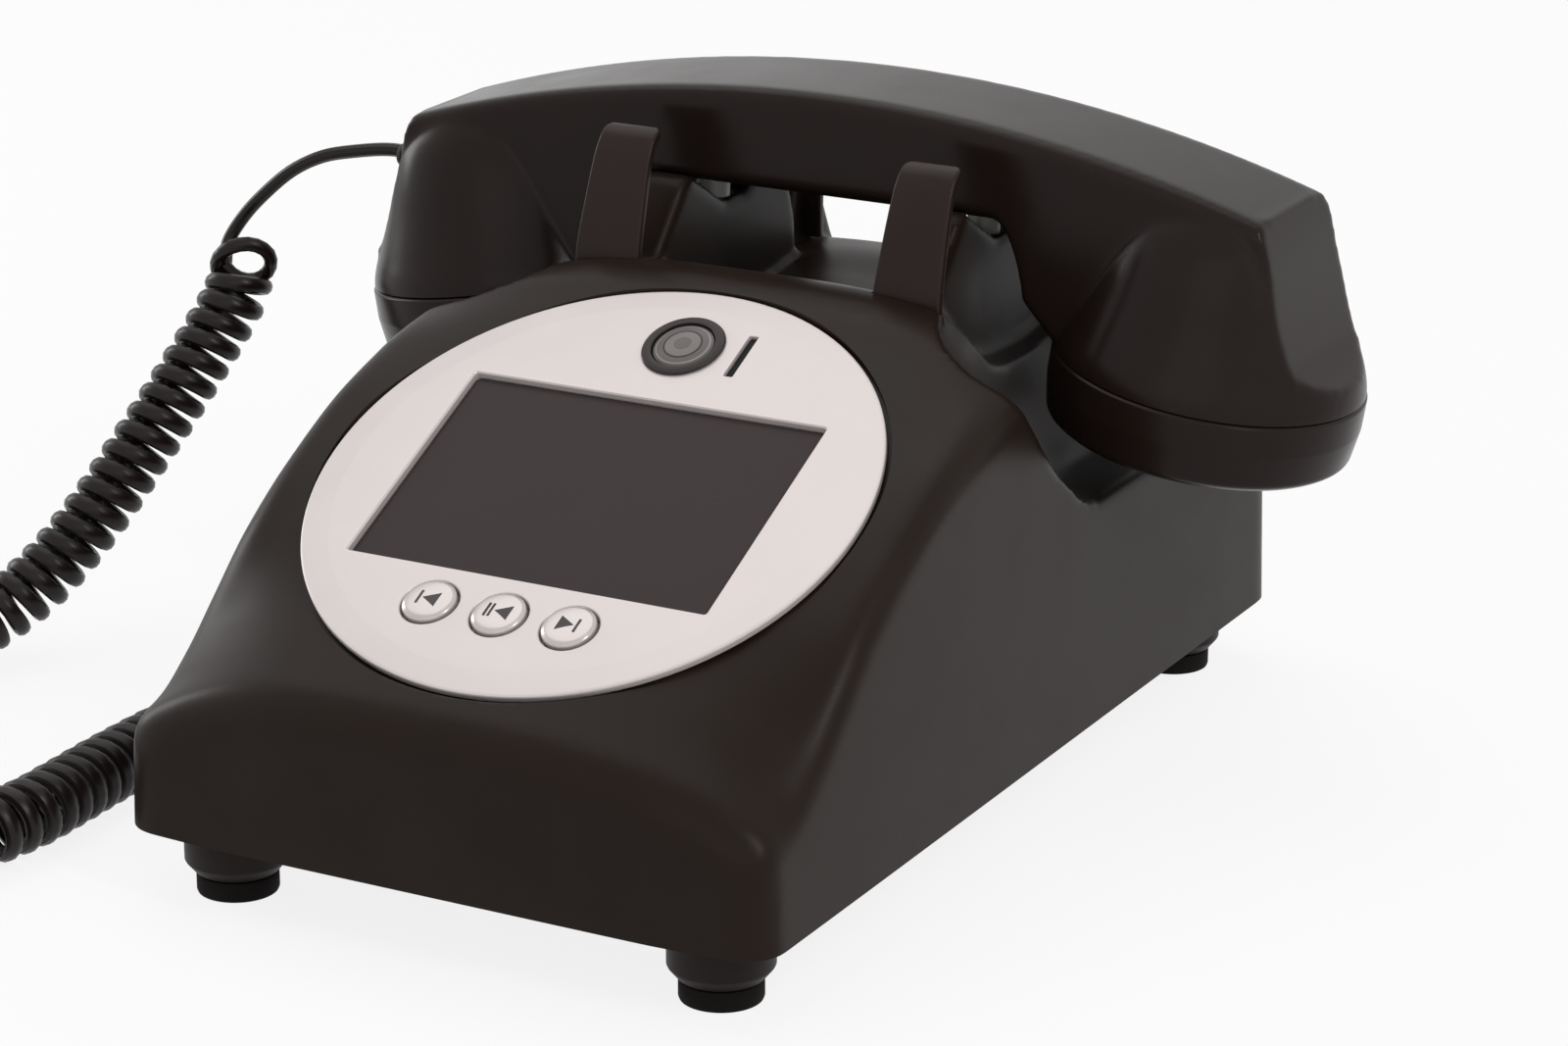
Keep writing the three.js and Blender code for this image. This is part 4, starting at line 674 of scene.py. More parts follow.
# Solder mask over copper: green with paler tracks standing up a little.
SOLDER_MASK = Finish(
    "solder_mask_board", "#16482f", 0.42, grain=Grain.TRACKS, depth_mm=0.03, mottle=0.06, second="#2c6d49",
)
# Shrink wrap over a cell: blue, glossy and slightly wavy.
CELL_WRAP = Finish(
    "shrink_wrap_battery", "#3f62a0", 0.35, grain=Grain.POLISHED, grain_mm=9, depth_mm=0.2, mottle=0.06,
)
# Pressed paper: black and dull, with fine ridges round the cone.
PAPER_CONE = Finish(
    "pressed_paper_cone", "#1b1a1a", 0.75, grain=Grain.RINGS, grain_mm=2.5, depth_mm=0.15, second="#262424",
)
# Silicone rubber: a dull warm grey.
KEY_SILICONE = Finish("silicone_key_mat", "#9b9995", 0.7, grain_mm=0.6, depth_mm=0.01)
# Moulded acetal: an off-white with a waxy gloss.
WHITE_POM = Finish("moulded_pom_white", "#d6d5d0", 0.42, grain_mm=0.8, depth_mm=0.006)
# Polycarbonate, drawn pale and opaque: a cool grey with a clear gloss.
CLEAR_PLUG = Finish("moulded_polycarbonate_plug", "#c2cacb", 0.18, ior=1.58, grain_mm=0.9, depth_mm=0.004)
# Glass-filled PBT, as of connectors: a dull black.
BLACK_PBT = Finish("moulded_pbt_socket", "#0f0d0d", 0.5, grain_mm=0.6, depth_mm=0.015, specular=0.12)


def dress(piece: Piece, finish: Finish, angle: float = SHARP) -> None:
    """Gives a piece its material and shades it smooth between its edges.

    Args:
        piece: the piece.
        finish: its finish.
        angle: edges that turn by more than this many degrees stay sharp.
    """
    pick(piece)
    piece.data.materials.clear()
    piece.data.materials.append(finish.material())
    bpy.ops.object.shade_smooth_by_angle(angle=math.radians(angle))


def hand_over(
    piece: Piece, finish: Finish, slot: str, body: str, *nodes: str, angle: float = SHARP,
) -> Piece:
    """Dresses a finished piece, hangs it on the body that it moves with and hides the solids that it stands
    for.

    Args:
        piece: the finished piece.
        finish: its finish.
        slot: name of a material slot. Not used.
        body: the body that it moves with.
        nodes: the solids that it stands for.
        angle: edges that turn by more than this many degrees stay sharp.

    Returns:
        The piece.
    """
    dress(piece, finish, angle)
    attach(piece, body)
    if nodes:
        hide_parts(*nodes)
    log.info("%s: %d faces on %s", piece.name, len(piece.data.polygons), body)
    return piece


# Studio


@dataclass
class Studio:
    """The camera, the lamps and the pale floor.

    Args:
        eye: the camera's place in millimetres.
        azimuth: its turn from the front towards the right, in degrees.
        elevation: how far it looks down, in degrees.
        sensor: width of the sensor.
        lens: focal length over that sensor.
        fill: strength of the light from all round.
        glow: share of the floor that shows as plain white.
    """

    eye: Point = (444.3, -798.1, 358.3)
    azimuth: float = 28.45
    elevation: float = 18.45
    sensor: float = 36.0
    lens: float = 108.7
    fill: float = 0.6
    glow: float = 0.85

    # Name, place, width and height, and power in watts of each soft panel.
    LAMPS = (
        ("overhead_panel", (-350, 250, 1300), (1100, 1100), 3.4),
        ("right_strip", (950, -430, 900), (120, 620), 4.0),
        ("left_box", (-1300, 150, 420), (300, 600), 3.2),
        ("front_fill", (300, -1200, 600), (900, 600), 0.6),
    )

    def camera(self) -> None:
        """Sets the camera at the photograph's angle."""
        data = bpy.data.cameras.new("camera")
        data.sensor_width = self.sensor
        data.lens = self.lens
        data.clip_end = 20.0
        camera = bpy.data.objects.new("camera", data)
        camera.location = Vector(self.eye) * MM
        camera.rotation_euler = (math.radians(90 - self.elevation), 0.0, math.radians(self.azimuth))
        bpy.context.scene.collection.objects.link(camera)
        bpy.context.scene.camera = camera
        bpy.context.scene.view_settings.view_transform = "Standard"

    def lamp(self, name: str, place: Point, size: Pair, power: float, aim: Point = (0.0, 0.0, 50.0)) -> None:
        """Hangs a soft panel.

        Args:
            name: the lamp's name.
            place: its place in millimetres.
            size: its width and height in millimetres.
            power: its power in watts.
            aim: the point that it faces.
        """
        data = bpy.data.lights.new(name, "AREA")
        data.shape = "RECTANGLE"
        data.size, data.size_y = size[0] * MM, size[1] * MM
        data.energy = power
        lamp = bpy.data.objects.new(name, data)
        lamp.location = Vector(place) * MM
        lamp.rotation_euler = (Vector(aim) - Vector(place)).to_track_quat("-Z", "Y").to_euler()
        bpy.context.scene.collection.objects.link(lamp)

    def seen_white(self, tree: bpy.types.NodeTree) -> bpy.types.NodeSocket:
        """Gives 1 to rays from the camera, mirrors and glass, and 0 to the rest."""
        path = add_node(tree, "ShaderNodeLightPath")
        first = add_node(tree, "ShaderNodeMath", {"operation": "MAXIMUM"}, {
            "0": path.outputs["Is Camera Ray"], "1": path.outputs["Is Glossy Ray"],
        })
        both = add_node(tree, "ShaderNodeMath", {"operation": "MAXIMUM"}, {
            "0": first.outputs[0], "1": path.outputs["Is Transmission Ray"],
        })
        return both.outputs[0]

    def world(self) -> None:
        """Lights the scene evenly from all round; the background itself is white."""
        world = bpy.data.worlds.new("studio")
        bpy.context.scene.world = world
        world.use_nodes = True
        tree = world.node_tree
        tree.nodes.clear()
        strength = add_node(
            tree, "ShaderNodeMapRange", {"To Min": self.fill, "To Max": 1.0},
            {"Value": self.seen_white(tree)},
        )
        sky = add_node(
            tree, "ShaderNodeBackground", {"Color": (1, 1, 1, 1)}, {"Strength": strength.outputs["Result"]},
        )
        add_node(tree, "ShaderNodeOutputWorld", None, {"Surface": sky.outputs["Background"]})

    def floor(self) -> None:
        """Lays a pale floor that keeps the shadow."""
        deselect()
        bpy.ops.mesh.primitive_plane_add(size=8.0)
        floor = new_piece("studio_floor")
        material = bpy.data.materials.new("matt_white_floor")
        material.use_nodes = True
        tree = material.node_tree
        tree.nodes.clear()
        matt = add_node(tree, "ShaderNodeBsdfDiffuse", {"Color": linear("#f4f4f4")})
        glow = add_node(tree, "ShaderNodeEmission", {"Color": (1, 1, 1, 1), "Strength": 1.0})
        share = add_node(
            tree, "ShaderNodeMath", {"operation": "MULTIPLY", "1": self.glow}, {"0": self.seen_white(tree)},
        )
        mix = add_node(tree, "ShaderNodeMixShader", None, {
            "0": share.outputs[0], "1": matt.outputs["BSDF"], "2": glow.outputs["Emission"],
        })
        add_node(tree, "ShaderNodeOutputMaterial", None, {"Surface": mix.outputs["Shader"]})
        floor.data.materials.append(material)

    def build(self) -> None:
        """Sets up everything but the object."""
        self.camera()
        self.world()
        self.floor()
        for name, place, size, power in self.LAMPS:
            self.lamp(name, place, size, power)


# Cord


@dataclass
class Cord:
    """The curly cord from the handset's left end to the body's left side.

    Args:
        wire: the wire's diameter.
        curl: outer diameter of the curls.
        turns: how many curls it has.
        steps: points on each curl.
        sides: faces round the wire.
        flat: share by which the curled wire is wider along the curls' axis.
        flat_turns: curls at each end over which it becomes so.
        opened: how far the first curl turns towards the viewer.
        open_turns: curls over which it turns back.
        close_turns: curls over which the last one draws in to the tail.
        curl_points: points between two places of the curls' middle line.
        lead_points: points between two places of the lead and the tail.
    """

    wire: float = 3.0
    curl: float = 14.9
    turns: int = 74
    steps: int = 20
    sides: int = 10
    flat: float = 0.28
    flat_turns: float = 2.0
    opened: float = 0.82
    open_turns: float = 1.6
    close_turns: float = 0.8
    curl_points: int = 24
    lead_points: int = 5

    # The first curl lies open towards these directions: at the viewer and to the viewer's right.
    LOOK = (0.4519, -0.834, 0.3165)
    RIGHT = (0.8792, 0.4764, 0.0)
    # The lead meets it there, as shares of RIGHT and of the direction up the picture.
    MEET = (-0.8, -0.6)

    # Places along the wire: from the handset, along the curls' middle line, and on to the plug.
    LEAD = [
        (-95.85, 49.5, 105.57), (-101.2, 49.5, 106.4), (-107, 49.5, 107.2), (-113.3, 49.4, 107.4),
        (-121.4, 49, 106.2), (-129.9, 48, 104.2), (-137.6, 46.8, 100.2), (-144.4, 45.2, 94.2),
        (-149.4, 44.2, 88.6), (-151.8, 41.6, 83.2),
    ]
    CURLS = [
        (-145.6, 39.8, 82.6), (-146, 36, 74.2), (-148, 31, 66.7), (-151.8, 21.5, 54.8), (-156, 11.5, 42.9),
        (-161.2, 0.5, 29.6), (-167.4, -10.5, 18), (-173.4, -21, 11), (-178.4, -32.5, 8.3), (-181.4, -46, 7.8),
        (-181.8, -61, 7.8), (-179, -77, 7.8), (-173.8, -92, 7.8), (-166.8, -106.5, 7.8), (-158, -121, 7.8),
        (-146.5, -132.5, 7.8), (-131.5, -137, 7.8), (-116.5, -133, 7.8), (-105.5, -122, 7.8),
        (-101.4, -107, 7.8), (-101.3, -93, 7.8), (-101.8, -80, 7.8), (-101.8, -66, 7.8), (-101.4, -52, 7.9),
        (-100.6, -38, 9), (-99, -25, 12),
    ]
    TAIL = [
        (-97, -15.5, 15.7), (-94.8, -5.5, 20.5), (-91.6, 4, 25), (-83.6, 9.5, 27), (-80.6, 9.5, 27),
        (-75.65, 9.5, 27),
    ]

    def along(self, points: np.ndarray, count: int) -> tuple[np.ndarray, np.ndarray]:
        """Spreads points evenly along a line.

        Args:
            points: the line's points.
            count: how many points to give.

        Returns:
            The even points and their directions.
        """
        run = np.r_[0, np.cumsum(np.linalg.norm(np.diff(points, axis=0), axis=1))]
        at = np.linspace(0, run[-1], count)
        even = np.stack([np.interp(at, run, points[:, k]) for k in range(3)], axis=1)
        way = np.gradient(even, axis=0)
        return even, way / np.linalg.norm(way, axis=1, keepdims=True)

    def frames(self, way: np.ndarray, first: np.ndarray | None = None) -> tuple[np.ndarray, np.ndarray]:
        """Carries a pair of cross directions along a line without twist."""
        first = np.cross(way[0], (0.0, 1.0, 0.0)) if first is None else first
        normal = first / np.linalg.norm(first)
        normals = []
        for direction in way:
            normal = normal - direction * normal.dot(direction)
            normal = normal / np.linalg.norm(normal)
            normals.append(normal)
        normals = np.array(normals)
        return normals, np.cross(way, normals)

    def path(self) -> tuple[np.ndarray, np.ndarray, slice]:
        """Gives the wire's middle line: a lead, the curls and the tail.

        Returns:
            The points, the axis of the curls at each curl point, and where the curls lie among the points.
        """
        count = self.turns * self.steps
        even, way = self.along(spline(self.CURLS, self.curl_points), count + 1)
        turn = np.linspace(0, self.turns, count + 1)
        open_share = self.opened * np.clip(1 - turn / self.open_turns, 0, 1)[:, None]
        axis = way * (1 - open_share) + np.array(self.LOOK) * open_share
        axis /= np.linalg.norm(axis, axis=1, keepdims=True)
        normals, others = self.frames(axis)
        start = self.MEET[0] * np.array(self.RIGHT) + self.MEET[1] * np.cross(self.LOOK, self.RIGHT)
        angle = 2 * math.pi * turn + math.atan2(start.dot(others[0]), start.dot(normals[0]))
        ease = np.clip((self.turns - turn) / self.close_turns, 0, 1)
        reach = (self.curl - self.wire) / 2 * ease**2 * (3 - 2 * ease)
        curls = even + normals * (np.cos(angle) * reach)[:, None] + others * (np.sin(angle) * reach)[:, None]
        lead = spline(self.LEAD + [tuple(curls[0])], self.lead_points)[:-1]
        tail = spline([self.CURLS[-1]] + self.TAIL, self.lead_points)[1:]
        return np.concatenate([lead, curls, tail]), way, slice(len(lead), len(lead) + len(curls))

    def build(self, plug: Sequence[Piece]) -> None:
        """Args:
            plug: the pieces of its plug. Not used.
        """
        path, axis, where = self.path()
        way = np.gradient(path, axis=0)
        way /= np.linalg.norm(way, axis=1, keepdims=True)
        across = axis - way[where] * (axis * way[where]).sum(axis=1, keepdims=True)
        across /= np.linalg.norm(across, axis=1, keepdims=True)
        before = self.frames(way[: where.start + 1][::-1], across[0])[0][:0:-1]
        after = self.frames(way[where.stop - 1 :], across[-1])[0][1:]
        normals = np.concatenate([before, across, after])
        others = np.cross(way, normals)
        place = np.arange(len(path))
        inward = np.minimum(place - where.start, where.stop - place)
        flat = np.clip(inward / (self.flat_turns * self.steps), 0, 1)[:, None, None]
        angles = np.arange(self.sides) * 2 * math.pi / self.sides
        rings = (
            path[:, None] + (normals[:, None] * np.cos(angles)[None, :, None] * (1 + self.flat * flat)
                             + others[:, None] * np.sin(angles)[None, :, None]) * self.wire / 2
        )
        cord = skin("curly_cord", rings)
        dress(cord, CORD_PVC)
        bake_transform(cord)
        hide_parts("cord_lead_upper", "cord_curl", "cord_lead_lower")


# Body


def mirror_x() -> Matrix:
    """Gives the matrix that mirrors a piece to the other side."""
    return Matrix.Diagonal((-1.0, 1.0, 1.0, 1.0))


def prism_x(name: str, outline: Sequence[Pair], low: float, high: float, edge: float = 0.0) -> Piece:
    """Extrudes an outline of y and z pairs along X."""
    turn = Matrix(((0, 0, 1, 0), (1, 0, 0, 0), (0, 1, 0, 0), (0, 0, 0, 1)))
    return placed(prism(name, outline, low, high, edge), turn)


@dataclass
class Housing:
    """The moulded body shell.

    Args:
        half_width: half its width at the bottom.
        front: place of its front.
        rear: place of its rear.
        bottom: height of its lower edge.
        front_corner: radius of its upright corners in front.
        rear_corner: radius of those behind.
        draft: how far each side leans in over the full height.
        crest: height of the ridge behind the face.
        rim: radius of the rounding between top and side.
        fold: radius of the rounding over the front.
        power: how late the top drops towards its rims; 2 would be a parabola.
        bow: how far the front bulges.
        bow_run: how far back the bulge fades out.
        wall: thickness of the moulding.
        end_run: length at each end whose cross-sections stand close.
        scoop_floor: height of the scoops' floor.
        scoop_fillet: radius of the rounding round that floor.
        scoop_square: how square the scoops are in plan; 2 would be an ellipse.
        scoop_out: how far further they run out past the side.
        scoop_back: least half length of their rear part.
        scoop_behind: how far further that part reaches.
        saddle_span: where a saddle's wall starts and ends, from the middle.
        plinth_span: the same for a rear ear's plinth.
        plinth_at: place of the plinths' middle.
        overrun: length of skin below the lower edge that is cut off again.
        grid: spacing of the skin's points.
    """

    half_width: float = 71.0
    front: float = -118.5
    rear: float = 118.5
    bottom: float = 15.0
    front_corner: float = 8.0
    rear_corner: float = 10.0
    draft: float = 2.5
    crest: float = 104.3
    rim: float = 6.0
    fold: float = 6.5
    power: float = 3.4
    bow: float = 2.6
    bow_run: float = 60.0
    wall: float = 2.6
    end_run: float = 10.0
    scoop_floor: float = 61.5
    scoop_fillet: float = 4.5
    scoop_square: float = 2.6
    scoop_out: float = 30.0
    scoop_back: float = 34.65
    scoop_behind: float = 20.8
    saddle_span: Pair = (26.5, 37.0)
    plinth_span: Pair = (31.0, 43.5)
    plinth_at: float = 89.0
    overrun: float = 6.0
    grid: float = 1.1

    # y and height along the middle of the top.
    MIDLINE = [
        (-118.5, 47.5), (-90, 61.22), (-60, 75.66), (-30, 90.1), (-10, 99.72), (-2, 103.0), (5, 104.3),
        (10, 104.1), (16.67, 101.2), (24, 94.4), (31, 88.6), (40, 86.3), (49.5, 86), (69, 87.75), (84, 89.6),
        (91, 89.3), (97, 87.4), (103.75, 82.5), (110.5, 71), (117.17, 57.5), (118.5, 44),
    ]
    # Share of the length and share of the crest by which the rims lie lower there.
    DROP = [
        (0, 0.09), (0.06, 0.115), (0.1, 0.1), (0.14, 0.07), (0.19, 0.031), (0.25, 0.01), (0.31, 0.004),
        (0.39, 0.023), (0.465, 0.063), (0.54, 0.1), (0.7, 0.12), (0.88, 0.1), (1, 0.06),
    ]
    # Height and distance of a scoop's inner wall from the middle, then height and half its length.
    CHEEK = [(61.5, 51), (72.5, 46.5), (82.8, 43), (92, 40.5), (98.3, 37), (140, 37)]
    LENGTH = [(61.5, 29.4), (72.5, 42.4), (82.8, 52), (92, 60), (98.3, 65), (134, 67), (140, 67)]
    # Where cross-sections stand near an end, and where rings stand on the end's own face.
    NEAR_END = (0, 0.15, 0.5, 1, 1.7, 2.6, 3.7, 5, 6.5, 8.0)
    END_RINGS = (0.15, 0.35, 0.55, 0.75, 0.92)
    # y from the cradle's middle, height and radius of the V's corners.
    SADDLE = [
        (4, 107.5, 2), (18.9, 116.45, 1.2), (21.5, 115.15, 1.5), (27.5, 96.3, 3), (27.5, 83.4, 0),
        (-34.5, 83.4, 0), (-34.5, 100.3, 3), (-21.5, 115.15, 1.5), (-18.9, 116.45, 1.2), (-4, 107.5, 2),
    ]
    # y from the rear ears' middle, height and radius of the plinth's corners.
    PLINTH = [(-13, 83.4, 0), (-5, 103.1, 2), (0, 104, 2), (6, 102.7, 3), (20, 73.6, 2), (20, 68.4, 0)]
    # Radius and depth of the face's recess, of the well behind it and of a plunger's hole.
    RECESS = [
        (0, -1.9), (58.6, -1.9), (58.6, -0.9), (58.75, -0.55), (59.15, -0.1), (60, 0.45), (66, 4), (0, 4),
    ]
    WELL = [(0, -12), (51.2, -12), (51.2, 0), (0, 0)]
    HOLE = [(0, 80), (3.75, 80), (3.75, 130), (0, 130)]
    # Name, corners and rounding of each port's cutter.
    PORTS = (
        ("usb_cut", (-26.8, 109.9, 25.2), (-17.2, 125, 29.2), 1.0),
        ("power_cut", (13, 109.9, 25.5), (23, 125, 29.5), 0.4),
        ("jack_cut", (-77, 3.7, 21.2), (-65.8, 15.3, 32.8), 0.5),
    )

    def corner(self, y: float, inset: float) -> float:
        """Gives half the width at a distance from the front or rear."""
        in_front = y < CRADLE
        radius = self.front_corner if in_front else self.rear_corner
        edge = max((y - self.front if in_front else self.rear - y) - inset, 0.0)
        radius = max(radius - inset, 0.5)
        limit = self.half_width - inset
        if edge >= radius:
            return limit
        return limit - radius + math.sqrt(radius**2 - (radius - edge) ** 2)

    def section(self, y: float, inset: float, bottom: float) -> np.ndarray:
        """Draws one cross-section.

        Args:
            y: its place.
            inset: how far inside the skin it lies.
            bottom: height of its lower edge.

        Returns:
            The points of the closed ring.
        """
        mid = pchip(self.MIDLINE, np.array([y - 0.5, y, y + 0.5]))
        share = (y - self.front) / (self.rear - self.front)
        drop = float(pchip(self.DROP, np.array([share]))[0]) * self.crest
        near = min(max(y - self.front - inset, 0.0), self.fold)
        fold = self.fold - math.sqrt(self.fold**2 - (self.fold - near) ** 2)
        crown = mid[1] - inset * min(math.hypot(1, mid[2] - mid[0]), 2) - fold
        half = self.corner(y, inset)
        top = half - self.draft * min((crown - self.bottom) / self.crest, 1)
        inner = top - self.rim
        lean = -self.power * drop / inner
        start = np.array([top, crown - drop + lean * self.rim * 0.5 - self.rim])
        end = np.array([inner, crown - drop])
        first = start + (0.0, self.rim * 0.6)
        second = end + np.array([1.0, lean]) * self.rim * 0.55
        t = np.linspace(0, 1, 9)[:, None]
        fillet = (
            start * (1 - t) ** 3 + first * 3 * t * (1 - t) ** 2 + second * 3 * t**2 * (1 - t) + end * t**3
        )
        share = np.linspace(1, 0, 26)[1:]
        over = np.stack([inner * share, crown - drop * share**self.power], axis=1)
        side = np.stack([np.linspace(half, top, 8)[:-1], np.linspace(bottom, start[1], 8)[:-1]], axis=1)
        right = np.concatenate([side, fillet, over])
        left = right[:-1][::-1] * (-1, 1)
        ring = np.concatenate([right, left])
        return np.c_[ring[:, 0], np.full(len(ring), y), ring[:, 1]]

    def block(self, name: str, inset: float, bottom: float, step: float) -> Piece:
        """Draws the body without its scoops, as one closed skin.

        Args:
            name: the piece's name.
            inset: how far inside the skin it lies.
            bottom: height of its lower edge.
            step: distance between cross-sections.

        Returns:
            The piece.
        """
        low, high = self.front + inset, self.rear - inset
        fine = np.array(self.NEAR_END)
        middle = np.arange(low + self.end_run, high - self.end_run, step)
        rows = [self.section(y, inset, bottom) for y in np.r_[low + fine, middle, (high - fine)[::-1]]]
        caps = []
        for ring in (rows[0], rows[-1]):
            hub = ring.mean(axis=0)
            caps.append([hub + (ring - hub) * share for share in self.END_RINGS])
        rows = np.array(caps[0] + rows + caps[1][::-1])
        fade = np.clip(1 - (rows[..., 1] - self.front) / self.bow_run, 0, 1) ** 2
        rows[..., 1] += self.bow * (rows[..., 0] / self.half_width) ** 2 * fade
        return skin(name, rows)

    def scoop(self, name: str, grow: float, count: int) -> Piece:
        """Draws the room beside the cradle in which the right cup hangs.

        Args:
            name: the cutter's name.
            grow: how far it is larger than the scoop itself.
            count: points round it.

        Returns:
            The cutter.
        """
        levels = np.r_[61.5, 61.9, 62.7, 64, 66, np.linspace(69, 98.3, 12), 104, 112, 125, 140]
        cheek, length = pchip(self.CHEEK, levels), pchip(self.LENGTH, levels)
        fillet = self.scoop_fillet
        rise = np.clip(levels - self.scoop_floor, 0, fillet)
        floor = fillet - np.sqrt(fillet**2 - (fillet - rise) ** 2)
        angle = np.arange(count) * 2 * math.pi / count
        c, s = np.cos(angle), np.sin(angle)
        square = 2 / self.scoop_square
        bend_x, bend_y = np.sign(c) * np.abs(c) ** square, np.sign(s) * np.abs(s) ** square
        rows = []
        for z, near, half, pull in zip(levels, cheek, length, floor):
            x = bend_x * (CUP_SIDE - near + grow - pull) + np.where(c > 0, self.scoop_out * c, 0)
            behind = max(half, self.scoop_back) + self.scoop_behind
            reach = np.where(s < 0, half, behind) + grow * 1.3 - pull
            height = z - grow if z == self.scoop_floor else z
            rows.append(np.c_[CUP_SIDE + x, CRADLE + bend_y * reach, np.full(count, height)])
        return skin(name, np.array(rows))

    def saddle(self) -> Piece:
        """Draws the right wall of the V in which the grip rests."""
        outline = filleted([(CRADLE + y, z, r) for y, z, r in self.SADDLE])
        return prism_x("saddle", outline, *self.saddle_span, 0.9)

    def plinth(self) -> Piece:
        """Draws the foot of the right rear ear."""
        outline = filleted([(self.plinth_at + y, z, r) for y, z, r in self.PLINTH])
        return prism_x("plinth", outline, *self.plinth_span, 1.6)

    def both_sides(self, body: Piece, tool: Piece, how: str) -> None:
        """Works a tool on the right side and its mirror image on the left."""
        other = copied(tool, "tool_left", mirror_x())
        combined(body, tool, how)
        combined(body, other, how)

    def skin_with_roundings(self) -> Piece:
        """Joins and cuts the main forms and rounds every edge as the mould does."""
        body = self.block("body_shell", 0.0, self.bottom - self.overrun, 2.0)
        self.both_sides(body, self.saddle(), "UNION")
        self.both_sides(body, self.plinth(), "UNION")
        self.both_sides(body, self.scoop("scoop", 0.0, 120), "DIFFERENCE")
        use_modifier(body, "REMESH", mode="VOXEL", voxel_size=self.grid * MM, adaptivity=0.0)
        use_modifier(body, "SMOOTH", factor=0.5, iterations=4)
        return body

    def build(self, face: Matrix, ears: Sequence[Piece]) -> None:
        """Makes the shell with its openings.

        Args:
            face: where the round face lies.
            ears: cutters for the slots of the four ears.
        """
        body = self.skin_with_roundings()
        inside = self.block("inside", self.wall, self.bottom - 2 * self.overrun, 4.0)
        for name, matrix in (("r", Matrix.Identity(4)), ("l", mirror_x())):
            combined(inside, placed(self.scoop("scoop_" + name, self.wall, 28), matrix))
        combined(body, inside)
        combined(body, box("below", (-90, -140, -10), (90, 140, self.bottom)))
        combined(body, placed(turned("recess", self.RECESS, 120), face))
        combined(body, placed(turned("well", self.WELL, 96), face))
        for ear in ears:
            combined(body, ear)
        for side in (-PLUNGER_SIDE, PLUNGER_SIDE):
            hole = turned("hole", self.HOLE, 32)
            combined(body, placed(hole, Matrix.Translation((side, CRADLE, 0))))
        for port in self.PORTS:
            combined(body, box(*port))
        hand_over(body, BODY_ABS, "body_plastic", "base", "housing_shell", angle=MOULD_SHARP)


@dataclass
class Ears:
    """The four upright ears between which the handset lies.

    Args:
        centre: distance of an ear's middle from the middle of the phone.
        base: width at its foot.
        tip: width at its tip.
        thick: thickness of the strap.
        shoulder: height from which it narrows.
        narrowing: rise over which it does.
        tip_round: radius of its tip's corners.
        play: gap round it in its slot.
    """

    centre: float = 34.4
    base: float = 15.0
    tip: float = 12.5
    thick: float = 2.2
    shoulder: float = 103.4
    narrowing: float = 24.9
    tip_round: float = 2.6
    play: float = 0.3

    # y and height along the middle of a front ear.
    LINE = [
        (10, 89.4), (10, 96.5), (10, 103.4), (13.0, 113.2), (15.8, 120.8), (17.5, 124.1), (19.5, 126.3),
        (22.3, 127.2),
    ]

    def strap(self, name: str, grow: float) -> Piece:
        """Draws the right front ear, or the cutter for its slot.

        Args:
            name: the piece's name.
            grow: how far it is larger than the ear.

        Returns:
            The piece.
        """
        line = spline(self.LINE, 6)
        way = np.gradient(line, axis=0)
        way /= np.linalg.norm(way, axis=1, keepdims=True)
        rows = []
        last = line[-1]
        for (y, z), (dy, dz) in zip(line, way):
            narrow = min(max((z - self.shoulder) / self.narrowing, 0), 1)
            half = (self.base + (self.tip - self.base) * narrow) / 2 + grow
            left = math.hypot(y - last[0], z - last[1])
            half -= self.tip_round * (1 - math.sqrt(1 - (1 - min(left / self.tip_round, 1)) ** 2))
            thick = self.thick / 2 + grow
            thick *= 1 - 0.45 * (1 - min(left / 0.9, 1)) ** 2
            outline = rounded_box(2 * half, 2 * thick, min(0.75, thick * 0.8))
            rows.append([(self.centre + a, y - dz * b, z + dy * b) for a, b in outline])
        return skin(name, np.array(rows))

    def places(self) -> dict[str, Matrix]:
        """Gives where each ear stands, by its name."""
        behind = Matrix.Translation((0, 2 * CRADLE, 0)) @ Matrix.Diagonal((1.0, -1.0, 1.0, 1.0))
        return {
            "front_right": Matrix.Identity(4), "front_left": mirror_x(),
            "rear_right": behind, "rear_left": mirror_x() @ behind,
        }

    def slots(self) -> list[Piece]:
        """Makes the cutters for the four slots in the body."""
        model = self.strap("slot", self.play)
        cutters = [copied(model, "slot_" + name, matrix) for name, matrix in self.places().items()]
        bpy.data.objects.remove(model)
        return cutters

    def build(self) -> None:
        """Makes the four ears."""
        model = self.strap("ear", 0.0)
        for name, matrix in self.places().items():
            ear = copied(model, "ear_" + name, matrix)
            hand_over(ear, EAR_ABS, "ear_plastic", "base", "cradle_ear_" + name)
        bpy.data.objects.remove(model)


# Underside


